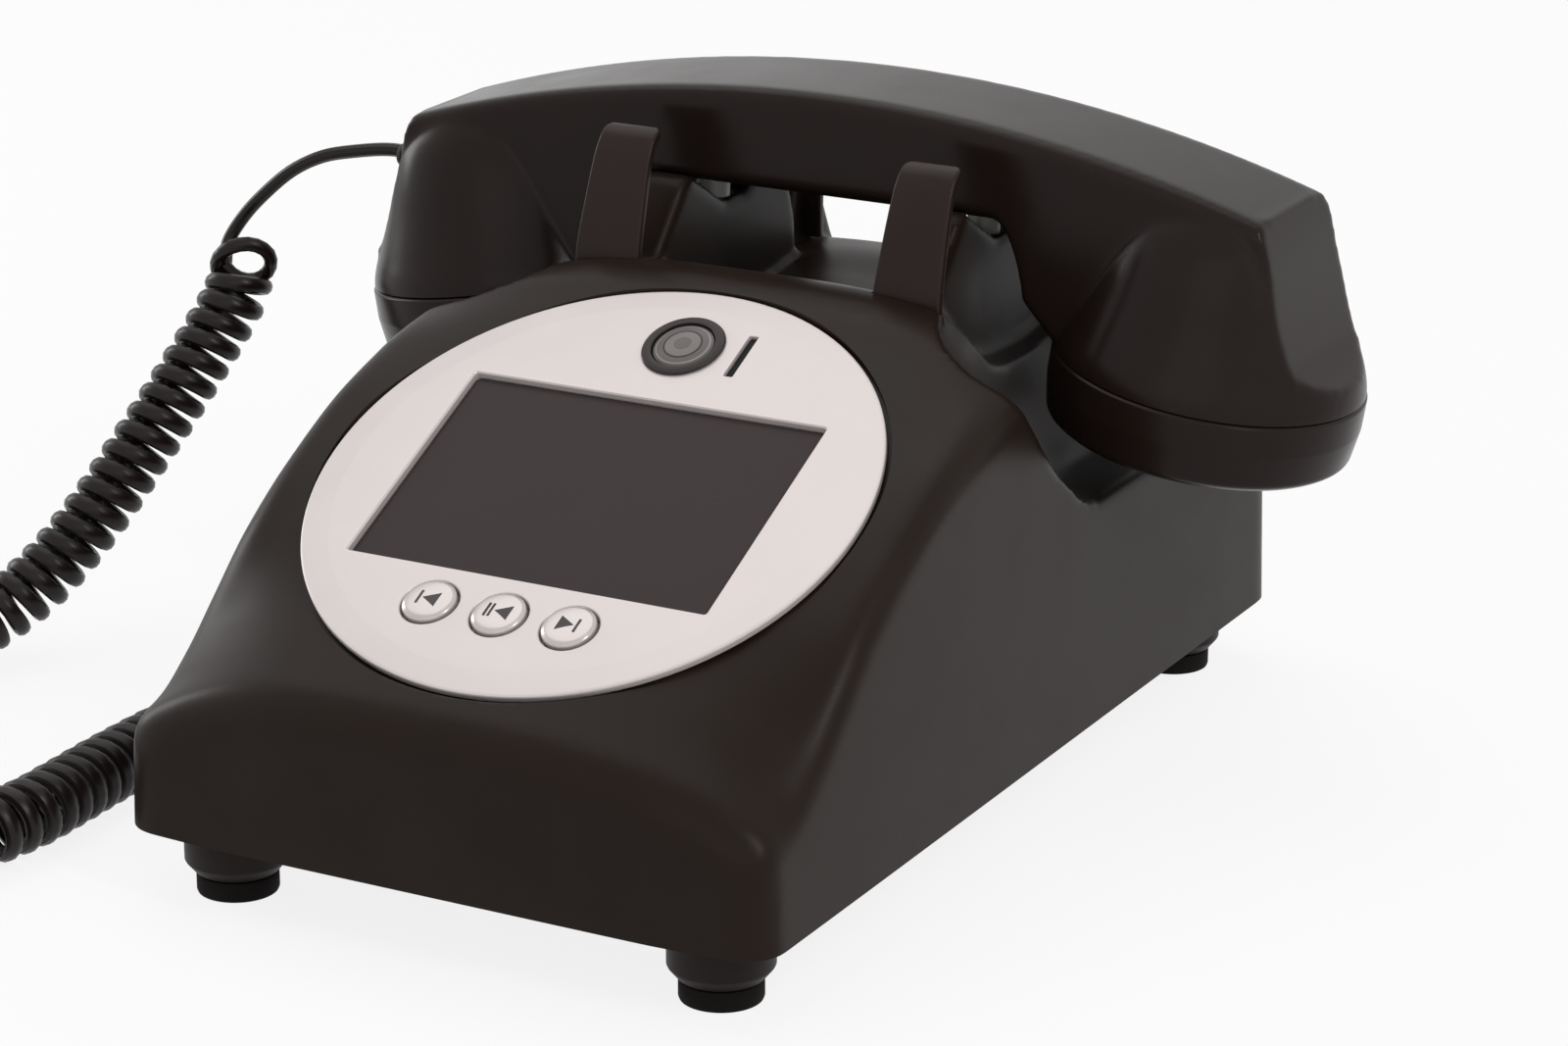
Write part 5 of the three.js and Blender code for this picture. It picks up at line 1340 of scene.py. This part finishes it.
@dataclass
class Underside:
    """The base plate with its feet and screws.

    Args:
        plate_size: width and depth of the base plate.
        plate_z: heights of its underside and its top.
        post_y: where the lever's posts start and end, from front to rear.
        post_x: distances of a post's two sides from the middle.
        shelf_z: heights of the shelf's underside and its top.
        lug_y: where the lugs on the posts start.
        lug_z: heights between which they stand.
        slots: how many slots the speaker has.
        slot_step: distance between two of them.
        slot_reach: distance of their ends from the speaker's middle.
        slot_width: width of a slot.
        slot_round: rounding of its ends.
        slot_row: place of the speaker's middle.
        screw_hole: radius of the hole for a case screw.
        screw_z: height of a case screw's seat.
        cross: half length and half width of a bar of its cross.
        socket: radius and top of the socket for a foot.
        spots: places of the feet.
        screws: places of the case screws.
    """

    plate_size: Pair = (134.5, 226.0)
    plate_z: Pair = (16.0, 18.6)
    post_y: Pair = (54.0, 74.4)
    post_x: Pair = (39.8, 43.3)
    shelf_z: Pair = (52.0, 55.0)
    lug_y: float = 67.6
    lug_z: Pair = (54.0, 69.2)
    slots: int = 5
    slot_step: float = 6.7
    slot_reach: float = 17.0
    slot_width: float = 2.4
    slot_round: float = 1.15
    slot_row: float = 12.5
    screw_hole: float = 1.7
    screw_z: float = 15.7
    cross: Pair = (1.6, 0.25)
    socket: Pair = (5.7, 7.5)
    spots: tuple[tuple[str, float, float], ...] = (
        ("front_left", -53.7, -101.3), ("front_right", 53.7, -101.3),
        ("rear_left", -53.7, 101.3), ("rear_right", 53.7, 101.3),
    )
    screws: tuple[tuple[str, float, float], ...] = (
        ("front_left", -56.0, -84.5), ("front_right", 56.0, -84.5),
        ("rear_left", -56.0, 84.5), ("rear_right", 56.0, 84.5),
    )

    # Radius and height along a foot boss, a foot and a case screw.
    BOSS = [
        (0, 4.5), (7.95, 4.5), (8.35, 4.7), (10.0, 6.7), (10.2, 7.1), (10.2, 15.4), (10.9, 16.1),
        (10.9, 17.2), (0, 17.2),
    ]
    FOOT = [
        (0, 0.5), (4.6, 0.5), (5.2, 0.12), (5.6, 0), (7.3, 0), (7.85, 0.22), (8.05, 0.75), (8.05, 3.75),
        (7.9, 4.1), (7.6, 4.2), (5.4, 4.2), (5.4, 7.0), (5.1, 7.2), (0, 7.2),
    ]
    SCREW = [
        (0, -1.8), (1.6, -1.8), (2.3, -1.55), (2.7, -1.0), (2.8, -0.4), (2.8, 0), (1.4, 0), (1.4, 11.6),
        (0.9, 12), (0, 12),
    ]

    def plate(self) -> None:
        """Makes the base plate with its bosses, lever posts and speaker slots."""
        plate = prism("base_tray", rounded_box(*self.plate_size, 8.0, (0.0, 1.3)), *self.plate_z, 0.5)
        model = turned("boss", self.BOSS, 64)
        for _, x, y in self.spots:
            combined(plate, copied(model, "boss_here", Matrix.Translation((x, y, 0))), "UNION")
        bpy.data.objects.remove(model)
        (front, rear), (under, over), middle = self.post_y, self.shelf_z, sum(self.post_x) / 2
        foot, head = self.lug_z
        for side in (-1, 1):
            low, high = sorted(side * x for x in self.post_x)
            combined(plate, box("post", (low, front, 17.3), (high, rear, over), 0.4), "UNION")
            combined(plate, box("lug", (low, self.lug_y, foot), (high, rear, head), 0.4), "UNION")
        combined(plate, box("shelf", (-middle, front, under), (middle, rear, over), 0.4), "UNION")
        for k in range(self.slots):
            x = (k - self.slots // 2) * self.slot_step
            half = math.sqrt(self.slot_reach**2 - x * x)
            outline = rounded_box(self.slot_width, 2 * half, self.slot_round, (x, self.slot_row))
            combined(plate, prism("slot", outline, 15, 20))
        for _, x, y in self.screws:
            combined(plate, prism("screw_hole", disc(self.screw_hole, (x, y), 24), 10, 25))
        radius, top = self.socket
        for _, x, y in self.spots:
            combined(plate, prism("socket", disc(radius, (x, y), 40), 4, top))
        hand_over(plate, PLATE_ABS, "base_plastic", "base", "base_plate")

    def feet(self) -> None:
        """Makes the four rubber feet, each with a shallow dish underneath."""
        model = turned("foot", self.FOOT, 56)
        for name, x, y in self.spots:
            foot = copied(model, "rubber_foot_" + name, Matrix.Translation((x, y, 0)))
            hand_over(foot, FOOT_RUBBER, "foot_rubber", "base", "foot_" + name)
        bpy.data.objects.remove(model)

    def fasteners(self) -> None:
        """Makes the four case screws with cross recesses."""
        model = turned("screw", self.SCREW, 40)
        for x, y in (self.cross[::-1], self.cross):
            combined(model, box("cross", (-x, -y, -2.2), (x, y, -0.9)))
        for name, x, y in self.screws:
            screw = copied(model, "case_screw_head_" + name, Matrix.Translation((x, y, self.screw_z)))
            hand_over(screw, ZINC_STEEL, "screw_steel", "base", "case_screw_" + name)
        bpy.data.objects.remove(model)

    def build(self) -> None:
        """Makes everything under the body."""
        self.plate()
        self.feet()
        self.fasteners()


# Face


@dataclass
class Face:
    """The round face, drawn flat: local z points out of it.

    Args:
        centre: its middle.
        tilt: its slope in degrees.
        top: height of its surface over the body's slope.
        under: height of its underside.
        screen: width and height of the screen's opening.
        strip: width and height of the indicator slot.
        strip_at: distance of that slot from the middle.
        camera_hole: radius of the camera's opening.
        key_hole: radius of a key's opening.
        camera_row: height of the camera and the indicator slot on the disc.
        key_row: height of the keys on the disc.
        glass: radius of the camera's glass.
        print_lift: how far the painted reflection rings on the lens and the marks stand out.
        edge_angle: degrees past which the disc's edges stay sharp.
        key_angle: the same for the keys.
    """

    centre: Point = (0.0, -55.875, 77.639)
    tilt: float = 25.7
    top: float = 0.6
    under: float = -1.6
    screen: Pair = (79.0, 53.0)
    strip: Pair = (2.1, 12.2)
    strip_at: float = 12.9
    camera_hole: float = 7.3
    key_hole: float = 5.9
    camera_row: float = 40.6
    key_row: float = -37.6
    glass: float = 6.2
    print_lift: float = 0.02
    edge_angle: float = 20.0
    key_angle: float = 50.0

    # Radius and height along the disc's lower edge, from its underside, then up its rim and over the top.
    LOW_RIM = [(0, 0), (57.3, 0), (57.6, 0.12), (57.7, 0.4)]
    RIM = [
        (57.7, -0.35), (57.6, -0.12), (57.35, 0.02), (57.0, 0.08), (52.6, 0.5), (52.2, 0.55), (51.8, 0.6),
        (0, 0.6),
    ]
    # Places of the screw posts behind the disc, and radius and height along a post and its bore.
    POSTS = [(-44.4, -13.6), (-44.4, 10.4), (44.4, -13.6), (44.4, 10.4)]
    POST = [(0, -7.4), (2.6, -7.4), (2.6, -1.2), (0, -1.2)]
    BORE = [(0, -9), (1.28, -9), (1.28, -2), (0, -2)]
    # Radius, height and rounding of the camera ring's corners.
    BEZEL = [
        (6.5, 0.9, 0), (6.5, 1.4, 0.2), (7.4, 1.4, 0.25), (8.45, 1.2, 0.3), (8.6, 0.9, 0), (7.0, 0.9, 0),
        (7.0, -2.8, 0), (4.9, -2.8, 0), (4.9, -1.9, 0), (6.5, -1.9, 0),
    ]
    # Middle radius, half width and finish of the rings painted on the lens: pale painted reflections with a
    # dark painted band between them.
    PAINTED_LENS_REFLECTIONS = ((5.5, 0.2, THIN_LENS_REFLECTION), (3.9, 0.15, BEZEL_PLASTIC), (2.7, 0.9, PALE_LENS_REFLECTION))
    # Radius and height along a key's collar and cylinder; its dome starts at the last one.
    KEY = [(0, -4.1), (2.4, -4.1), (2.4, -3.1), (6.9, -3.1), (6.9, -1.9), (5.4, -1.9)]
    KEY_RIM = [(5.4, 0.75), (5.35, 1.0), (5.15, 1.2), (4.8, 1.32)]
    KEYS = ((-15.3, "previous"), (0.0, "play_pause"), (15.3, "next"))
    # A printed triangle that points to the left.
    ARROW = [(-1.85, 0.0), (1.45, -1.8), (1.45, 1.8)]

    def matrix(self) -> Matrix:
        """Gives where the face lies."""
        return Matrix.Translation(self.centre) @ Matrix.Rotation(math.radians(self.tilt), 4, "X")

    def at(self, x: float, y: float) -> Matrix:
        """Gives where a part of the face lies."""
        return self.matrix() @ Matrix.Translation((x, y, 0))

    def plate(self) -> None:
        """Makes the silver disc with its sloping outer band and its openings."""
        low = [(radius, self.under + z) for radius, z in self.LOW_RIM]
        plate = turned("round_face", low + self.RIM, 144)
        strip = rounded_box(*self.strip, 0.4, (self.strip_at, self.camera_row))
        cutters = [
            flared("screen_cut", rounded_box(*self.screen, 0.8, (0, -1.6)), -6, self.top, 0.35),
            flared("camera_cut", disc(self.camera_hole, (0, self.camera_row), 48), -6, self.top, 0.15),
            flared("strip_cut", strip, -6, self.top, 0.12),
        ]
        for x, _ in self.KEYS:
            cutters.append(flared("key_cut", disc(self.key_hole, (x, self.key_row), 56), -6, self.top, 0.2))
        for cutter in cutters:
            combined(plate, cutter)
        for x, y in self.POSTS:
            spot = Matrix.Translation((x, y, 0))
            combined(plate, placed(turned("post", self.POST, 24), spot), "UNION")
            combined(plate, placed(turned("bore", self.BORE, 16), spot))
        placed(plate, self.matrix())
        hand_over(plate, FACE_LACQUER, "face_silver", "base", "face_plate", angle=self.edge_angle)

    def camera(self) -> None:
        """Makes the camera's bezel, the domed lens and the rings of painted reflection on it."""
        middle = self.at(0, self.camera_row)
        bezel = placed(turned("camera_ring", filleted(self.BEZEL, 3), 72, ring=True), middle)
        hand_over(bezel, BEZEL_PLASTIC, "bezel_plastic", "base", "camera_bezel")
        dome = [(radius, self.dome(radius)) for radius in np.linspace(self.glass, 0, 18)]
        lens = placed(turned("camera_glass", [(0, self.under), (self.glass, self.under)] + dome, 64), middle)
        hand_over(lens, LENS_GLASS, "lens_glass", "base", "camera_lens")
        # Each ring is a painted reflection laid on the lens's dome.
        for number, (radius, width, finish) in enumerate(self.PAINTED_LENS_REFLECTIONS, 1):
            rim = [(r, self.dome(r)) for r in (radius + width, radius, radius - width)]
            ring = [(r, z + self.print_lift) for r, z in rim] + [(r, z - 0.1) for r, z in rim[::-1]]
            piece = placed(turned(f"lens_reflection_ring_{number}", ring, 56, ring=True), middle)
            hand_over(piece, finish, "lens_glass", "base")

    def dome(self, radius: float) -> float:
        """Gives the height of the lens at a distance from its middle."""
        return self.top + 1.1 * math.sqrt(1 - (radius / 6.6) ** 2)

    def symbol(self, key: str) -> list[list[Pair]]:
        """Gives the outlines of a key's printed symbol: a triangle and its bars."""
        bar = rounded_box(0.5, 3.4, 0.1)
        if key == "previous":
            return [[(x + 0.6, y) for x, y in self.ARROW], [(x - 1.95, y) for x, y in bar]]
        if key == "next":
            return [[(-x - 0.6, -y) for x, y in self.ARROW], [(x + 1.95, y) for x, y in bar]]
        bars = [[(x - shift, y) for x, y in bar] for shift in (1.35, 2.3)]
        return [[(x + 1.2, y) for x, y in self.ARROW]] + bars

    def keys(self) -> None:
        """Makes the three domed keys with their printed symbols."""
        edge, base = self.KEY_RIM[-1]
        swell = np.linspace(math.pi / 2, 0, 12)[1:]
        dome = [(edge * math.sin(a), base + 0.38 * math.cos(a)) for a in swell]
        for x, key in self.KEYS:
            here, body = self.at(x, self.key_row), "button_" + key
            cap = placed(turned("key_" + key, self.KEY + self.KEY_RIM + dome, 64), here)
            hand_over(cap, KEY_LACQUER, "button_plastic", body, body, angle=self.key_angle)
            marks = [prism("mark", outline, 1.4, 1.73) for outline in self.symbol(key)]
            hand_over(placed(merged("symbol_" + key, marks), here), PRINT_INK, "button_plastic", body)

    def build(self) -> None:
        """Makes the face and what it carries."""
        self.plate()
        self.camera()
        self.keys()


# Handset


@dataclass
class Handset:
    """The handset: grip, two cups, two caps and the cord's grommet.

    Args:
        shift: how far it lies towards the right.
        seam: height of the middle of the seams.
        tilt: lean of the cups in degrees.
        radius: radius of a cup at its seam.
        height: height of a cup.
        top: height of the middle of the grip's top.
        arch_radius: radius of the arch of the grip's top.
        corner: distance of the end faces' upper edges from the handset's middle.
        reach: half the length over which the grip is drawn.
        half_grip: half its width.
        half_under: half the width of its underside.
        neck: distance at which the grip's underside bends down to the cups.
        neck_run: length of that bend.
        neck_drop: how far it comes down.
        room_low: height down to which the middle part of the grip is kept.
        underside: height of the grip's underside between the necks.
        depth: depth of the grip where its top comes down to the cups.
        sound_ring: radius of the ring of sound holes.
        lead_height: height at which the cord leaves.
        grid: spacing of the skin's points.
        smoothing: how many passes smooth it.
        ribs: how many ribs the grommet has.
        rib_start: distance of the first one from the end face.
        rib_step: distance between two of them.
        rib_radius: radius of the first one.
        rib_taper: how much smaller each next one is.
    """

    shift: float = 1.4
    seam: float = 86.0
    tilt: float = 9.5
    radius: float = 32.0
    height: float = 37.0
    top: float = 136.0
    arch_radius: float = 318.0
    corner: float = 98.3
    reach: float = 107.2
    half_grip: float = 17.5
    half_under: float = 15.0
    neck: float = 39.4
    neck_run: float = 8.7
    neck_drop: float = 28.46
    room_low: float = 112.06
    underside: float = 114.46
    depth: float = 11.0
    sound_ring: float = 9.0
    lead_height: float = 105.5
    grid: float = 0.75
    smoothing: int = 9
    ribs: int = 4
    rib_start: float = 2.2
    rib_step: float = 1.7
    rib_radius: float = 4.25
    rib_taper: float = 0.42

    # Height over the seam and radius of a cup.
    CUP = [(-6, 32), (0, 32), (3, 31.35), (6.3, 30.1), (14.8, 27.04), (22.9, 24.5), (30.3, 21.4), (37, 16)]
    # An end face from its upper edge: shares of the way out to the rim and of the way down to the seam.
    END = [(-0.05, -0.5), (0, 0), (0.12, 0.16), (0.255, 0.45), (0.386, 0.68), (0.58, 0.88), (1.1, 1.06)]
    # Radius and height along what limits a neck, along a cup's hollow and along a sound hole.
    CONE = [(0, -37), (31.7, -37), (31.7, 0), (73.4, 37), (73.4, 80), (0, 80)]
    HOLLOW = [(0, -6), (27.5, -6), (27.5, 5), (19.82, 12.16), (12.78, 19), (0, 19)]
    SOUND_HOLE = [(0, -17), (2.0, -17), (2.0, -15.2), (1.6, -14.8), (1.6, -10), (0, -10)]
    # Radius, height and rounding of a cap's corners.
    CAP = [
        (0, -15, 0), (29.3, -15, 1.6), (31.3, -13.6, 2.0), (32.3, -6.75, 2.5), (32.3, -0.75, 0.35),
        (31.7, -0.3, 0.2), (27.15, -0.3, 0), (27.15, 4, 0.4), (25.15, 4, 0.4), (25.15, -10.4, 0),
        (24.35, -13, 0), (0, -13, 0),
    ]
    # Radius and distance along the grommet's foot, inwards and along over a rib, and along its end.
    GROMMET = [(1.65, -6.5), (2.7, -6.5), (2.7, 1.2), (4.0, 1.2), (4.3, 1.5)]
    RIB = [(0, 0), (0.1, 0.35), (0.75, 0.5), (0.8, 0.95), (0.4, 1.25)]
    GROMMET_END = [(2.55, 9.2), (2.3, 9.5), (1.65, 9.5)]

    def arch(self, x: float) -> float:
        """Gives the height of the grip's top."""
        return self.top - self.arch_radius + math.sqrt(self.arch_radius**2 - x * x)

    def cup_at(self, side: int) -> Matrix:
        """Gives where a cup stands; its local z runs from the cap to the grip."""
        return (
            Matrix.Translation((self.shift + side * CUP_SIDE, CRADLE, self.seam))
            @ Matrix.Rotation(math.radians(side * self.tilt), 4, "Y")
        )

    def beam(self) -> Piece:
        """Draws the grip from end to end, its neck bent down to the cups."""
        bend = self.neck + np.linspace(0, 8.69, 18)
        places = np.r_[np.arange(0, self.neck, 2.0), bend, np.arange(50, self.reach, 2.0), self.reach]
        rows = []
        for x in np.r_[-places[:0:-1], places]:
            top = self.arch(x)
            neck = min(max((abs(x) - self.neck) / self.neck_run, 0), 1)
            drop = self.neck_drop * (1 - math.sqrt(1 - neck * neck))
            bottom = min(self.underside, top - self.depth) - drop
            side = bottom + 1.5
            under, half = self.half_under, self.half_grip
            corners = [
                (-under, bottom, 1.5), (under, bottom, 1.5), (half, side, 2.5), (half, top, 3.4),
                (-half, top, 3.4), (-half, side, 2.5),
            ]
            rows.append([(self.shift + x, CRADLE + y, z) for y, z in filleted(corners)])
        return skin("grip", np.array(rows))

    def grip_parts(self) -> list[Piece]:
        """Draws the grip in three overlapping parts: over the saddle, and beside each cup."""
        x, y = CUP_SIDE, self.radius
        low, high = (self.shift - x, CRADLE - y, self.room_low), (self.shift + x, CRADLE + y, self.top + 6)
        room = box("room", low, high)
        parts = [combined(self.beam(), room, "INTERSECT")]
        for side in (-1, 1):
            cone = placed(turned("cone", self.CONE, 72), self.cup_at(side))
            part = combined(self.beam(), cone, "INTERSECT")
            parts.append(combined(part, self.end(side)))
        return parts

    def end(self, side: int) -> Piece:
        """Draws what lies past one end of the handset."""
        depth, edge = CUP_SIDE + self.radius - self.corner, self.arch(self.corner)
        height = edge - self.seam
        line = [(self.corner + dx * depth, edge - dz * height) for dx, dz in self.END]
        smooth = [tuple(p) for p in spline(line[1:], 6)]
        outline = [line[0]] + smooth + [(150, smooth[-1][1]), (150, line[0][1])]
        turn = Matrix(((side, 0, 0, self.shift), (0, 0, -1, CRADLE), (0, 1, 0, 0), (0, 0, 0, 1)))
        return placed(prism("end", outline, -45, 45), turn)

    def shell(self) -> Piece:
        """Makes the grip with its two cups as one moulding."""
        rises = np.r_[-6, np.linspace(0, self.height, 26)]
        wall = [(float(r), float(z)) for z, r in zip(rises, pchip(self.CUP, rises))]
        profile = [(0, -6)] + wall + [(0, self.height)]
        parts = self.grip_parts()
        for side in (-1, 1):
            parts.append(combined(placed(turned("cup", profile, 96), self.cup_at(side)), self.end(side)))
        shell = merged("handset_grip", parts)
        use_modifier(shell, "REMESH", mode="VOXEL", voxel_size=self.grid * MM, adaptivity=0.0)
        use_modifier(shell, "SMOOTH", factor=0.5, iterations=self.smoothing)
        for side in (-1, 1):
            combined(shell, placed(box("under", (-42, -42, -32), (42, 42, 0)), self.cup_at(side)))
            combined(shell, placed(turned("hollow", self.HOLLOW, 48), self.cup_at(side)))
        return shell

    def cap(self) -> Piece:
        """Makes one screw-on cap with its sound holes."""
        cap = turned("cap", filleted(self.CAP, 5), 96)
        angles = [k * math.pi / 3 for k in range(6)]
        ring = [(self.sound_ring * math.cos(a), self.sound_ring * math.sin(a)) for a in angles]
        for x, y in [(0.0, 0.0)] + ring:
            combined(cap, placed(turned("hole", self.SOUND_HOLE, 24), Matrix.Translation((x, y, 0))))
        return cap

    def grommet(self) -> Piece:
        """Makes the ribbed grommet in which the cord leaves the handset."""
        profile = list(self.GROMMET)
        for k in range(self.ribs):
            z, radius = self.rib_start + k * self.rib_step, self.rib_radius - k * self.rib_taper
            profile += [(radius - inwards, z + further) for inwards, further in self.RIB]
        profile += self.GROMMET_END
        place = Matrix.Translation((self.shift - self.end_face(self.lead_height), CRADLE, self.lead_height))
        turn = Matrix.Rotation(0.15 - math.pi / 2, 4, "Y")
        return placed(turned("cord_grommet", profile, 40, ring=True), place @ turn)

    def end_face(self, height: float) -> float:
        """Gives how far the end face stands from the handset's middle."""
        edge = self.arch(self.corner)
        share = (edge - height) / (edge - self.seam)
        across = np.interp(share, [dz for _, dz in self.END[1:]], [dx for dx, _ in self.END[1:]])
        return self.corner + (CUP_SIDE + self.radius - self.corner) * float(across)

    def build(self) -> None:
        """Makes the handset."""
        shell = self.shell()
        hand_over(shell, HANDSET_ABS, "body_plastic", "handset", "handset_shell", angle=MOULD_SHARP)
        model = self.cap()
        for name, side in (("earpiece", 1), ("mouthpiece", -1)):
            cap = copied(model, name + "_screw_cap", self.cup_at(side))
            hand_over(cap, HANDSET_ABS, "body_plastic", "handset", name + "_cap")
        bpy.data.objects.remove(model)
        hand_over(self.grommet(), SEAL_RUBBER, "seal_rubber", "handset", "handset_grommet")


# Sockets and hook


@dataclass
class Fittings:
    """The plug, the power knob and the hook's two plungers.

    Args:
        plug_start: the middle of the boot's foot, where the cord's axis meets the plug.
        pins: places of the plug's contacts from its middle.
        ribs: how many ribs the knob has, one millimetre apart.
        pin_x: where a contact starts and ends, from left to right.
        pin_z: heights of its underside and its top.
        pin_half: half its width.
    """

    plug_start: Point = (-71.6, 9.5, 27.0)
    pins: tuple[float, ...] = (-1.8, -0.6, 0.6, 1.8)
    ribs: int = 4
    pin_x: Pair = (-61.5, -57.8)
    pin_z: Pair = (30.05, 30.28)
    pin_half: float = 0.2

    # Opposite corners of the plug's body, of the knob and of the knob's first rib.
    PLUG_BODY = ((-72.4, 5.8, 23.8), (-57.45, 13.2, 30.2))
    KNOB = ((13.35, 112.65, 26.2), (18.35, 119.6, 28.8))
    KNOB_RIB = ((14.1, 119.3, 26.5), (14.6, 120.1, 28.5))
    # Radius and distance along the plug's boot, then radius and height along a plunger.
    BOOT = [
        (0, 0), (4.2, 0), (4.48, 0.3), (4.48, 3.0), (4.2, 3.3), (4.1, 4.0), (3.9, 4.4), (3.6, 4.7),
        (3.55, 5.4), (3.3, 5.8), (3.0, 6.1), (2.95, 6.8), (2.8, 7.2), (2.7, 9), (1.7, 9), (1.7, 3.6),
        (0, 3.6),
    ]
    PLUNGER = [
        (0, 74), (4.4, 74), (4.6, 74.2), (4.6, 75.8), (4.4, 76), (3.6, 76), (3.4, 76.3), (3.4, 113.1),
        (3.2, 113.7), (2.6, 114.05), (2.0, 114.16), (0, 114.16),
    ]

    def plug(self) -> list[Piece]:
        """Makes the cord's plug with its boot and four contacts, and gives its pieces."""
        body = box("body", *self.PLUG_BODY, 0.35)
        turn = Matrix.Translation(self.plug_start) @ Matrix.Rotation(-math.pi / 2, 4, "Y")
        combined(body, placed(turned("boot", self.BOOT, 40), turn), "UNION")
        body.name = body.data.name = "cord_plug_body"
        hand_over(body, CLEAR_PLUG, "plug_plastic", "base", "cord_plug")
        places = [self.plug_start[1] + y for y in self.pins]
        (start, end), (low, high), half = self.pin_x, self.pin_z, self.pin_half
        pins = [box("pin", (start, y - half, low), (end, y + half, high), 0.05) for y in places]
        contacts = merged("plug_contacts", pins)
        hand_over(contacts, GOLD_CONTACT, "plug_plastic", "base")
        return [body, contacts]

    def knob(self) -> None:
        """Makes the sliding knob of the power switch with its ribs."""
        knob = box("power_slider", *self.KNOB, 0.25)
        for k in range(self.ribs):
            low, high = ((x + k, y, z) for x, y, z in self.KNOB_RIB)
            combined(knob, box("rib", low, high, 0.15), "UNION")
        hand_over(knob, WHITE_POM, "hook_plastic", "power_knob", "power_switch_knob")

    def plungers(self) -> None:
        """Makes the two plungers that the grip presses."""
        model = turned("plunger", self.PLUNGER, 48)
        for side, x in (("left", -PLUNGER_SIDE), ("right", PLUNGER_SIDE)):
            plunger = copied(model, "hook_pin_" + side, Matrix.Translation((x, CRADLE, 0)))
            hand_over(plunger, WHITE_POM, "hook_plastic", "hook_plunger_" + side, "hook_plunger_" + side)
        bpy.data.objects.remove(model)

    def build(self) -> None:
        """Makes the small fittings but the plug."""
        self.knob()
        self.plungers()


class Carried:
    """The solids that keep their own meshes, each with its real finish."""

    FINISHES: dict[str, Finish] = {
        "display_window": WINDOW_ACRYLIC, "slot_window": BLACK_PBT, "display_panel": BLACK_PBT,
        "camera_module": BLACK_PBT, "key_mat": KEY_SILICONE, "front_board": SOLDER_MASK,
        "main_board": SOLDER_MASK, "battery_pack": CELL_WRAP, "ballast_plate": ZINC_STEEL,
        "speaker": PAPER_CONE, "hook_lever": WHITE_POM, "hook_pin": SPRING_STEEL, "hook_spring": SPRING_STEEL,
        "hook_switch": BLACK_PBT, "usb_socket": ZINC_STEEL, "power_switch_body": BLACK_PBT,
        "handset_jack": BLACK_PBT, "earpiece_receiver": BLACK_PBT, "microphone_capsule": ZINC_STEEL,
        "microphone_holder": SEAL_RUBBER, "board_screw_1": ZINC_STEEL, "board_screw_2": ZINC_STEEL,
        "board_screw_3": ZINC_STEEL, "board_screw_4": ZINC_STEEL,
    }

    def build(self) -> None:
        """Puts each finish into the solid's own material slots."""
        for name, finish in self.FINISHES.items():
            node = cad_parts[name]
            for slot in node.material_slots:
                slot.material = finish.material()
            if not node.material_slots:
                node.data.materials.append(finish.material())
            log.info("%s: %s", name, finish.name)


def main() -> None:
    """Builds the phone."""
    logging.basicConfig(level=logging.INFO, format="%(message)s")
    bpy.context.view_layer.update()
    Studio().build()
    Cord().build(Fittings().plug())
    face, ears = Face(), Ears()
    Housing().build(face.matrix(), ears.slots())
    ears.build()
    Underside().build()
    face.build()
    Handset().build()
    Fittings().build()
    Carried().build()


if __name__ == "__main__":
    main()
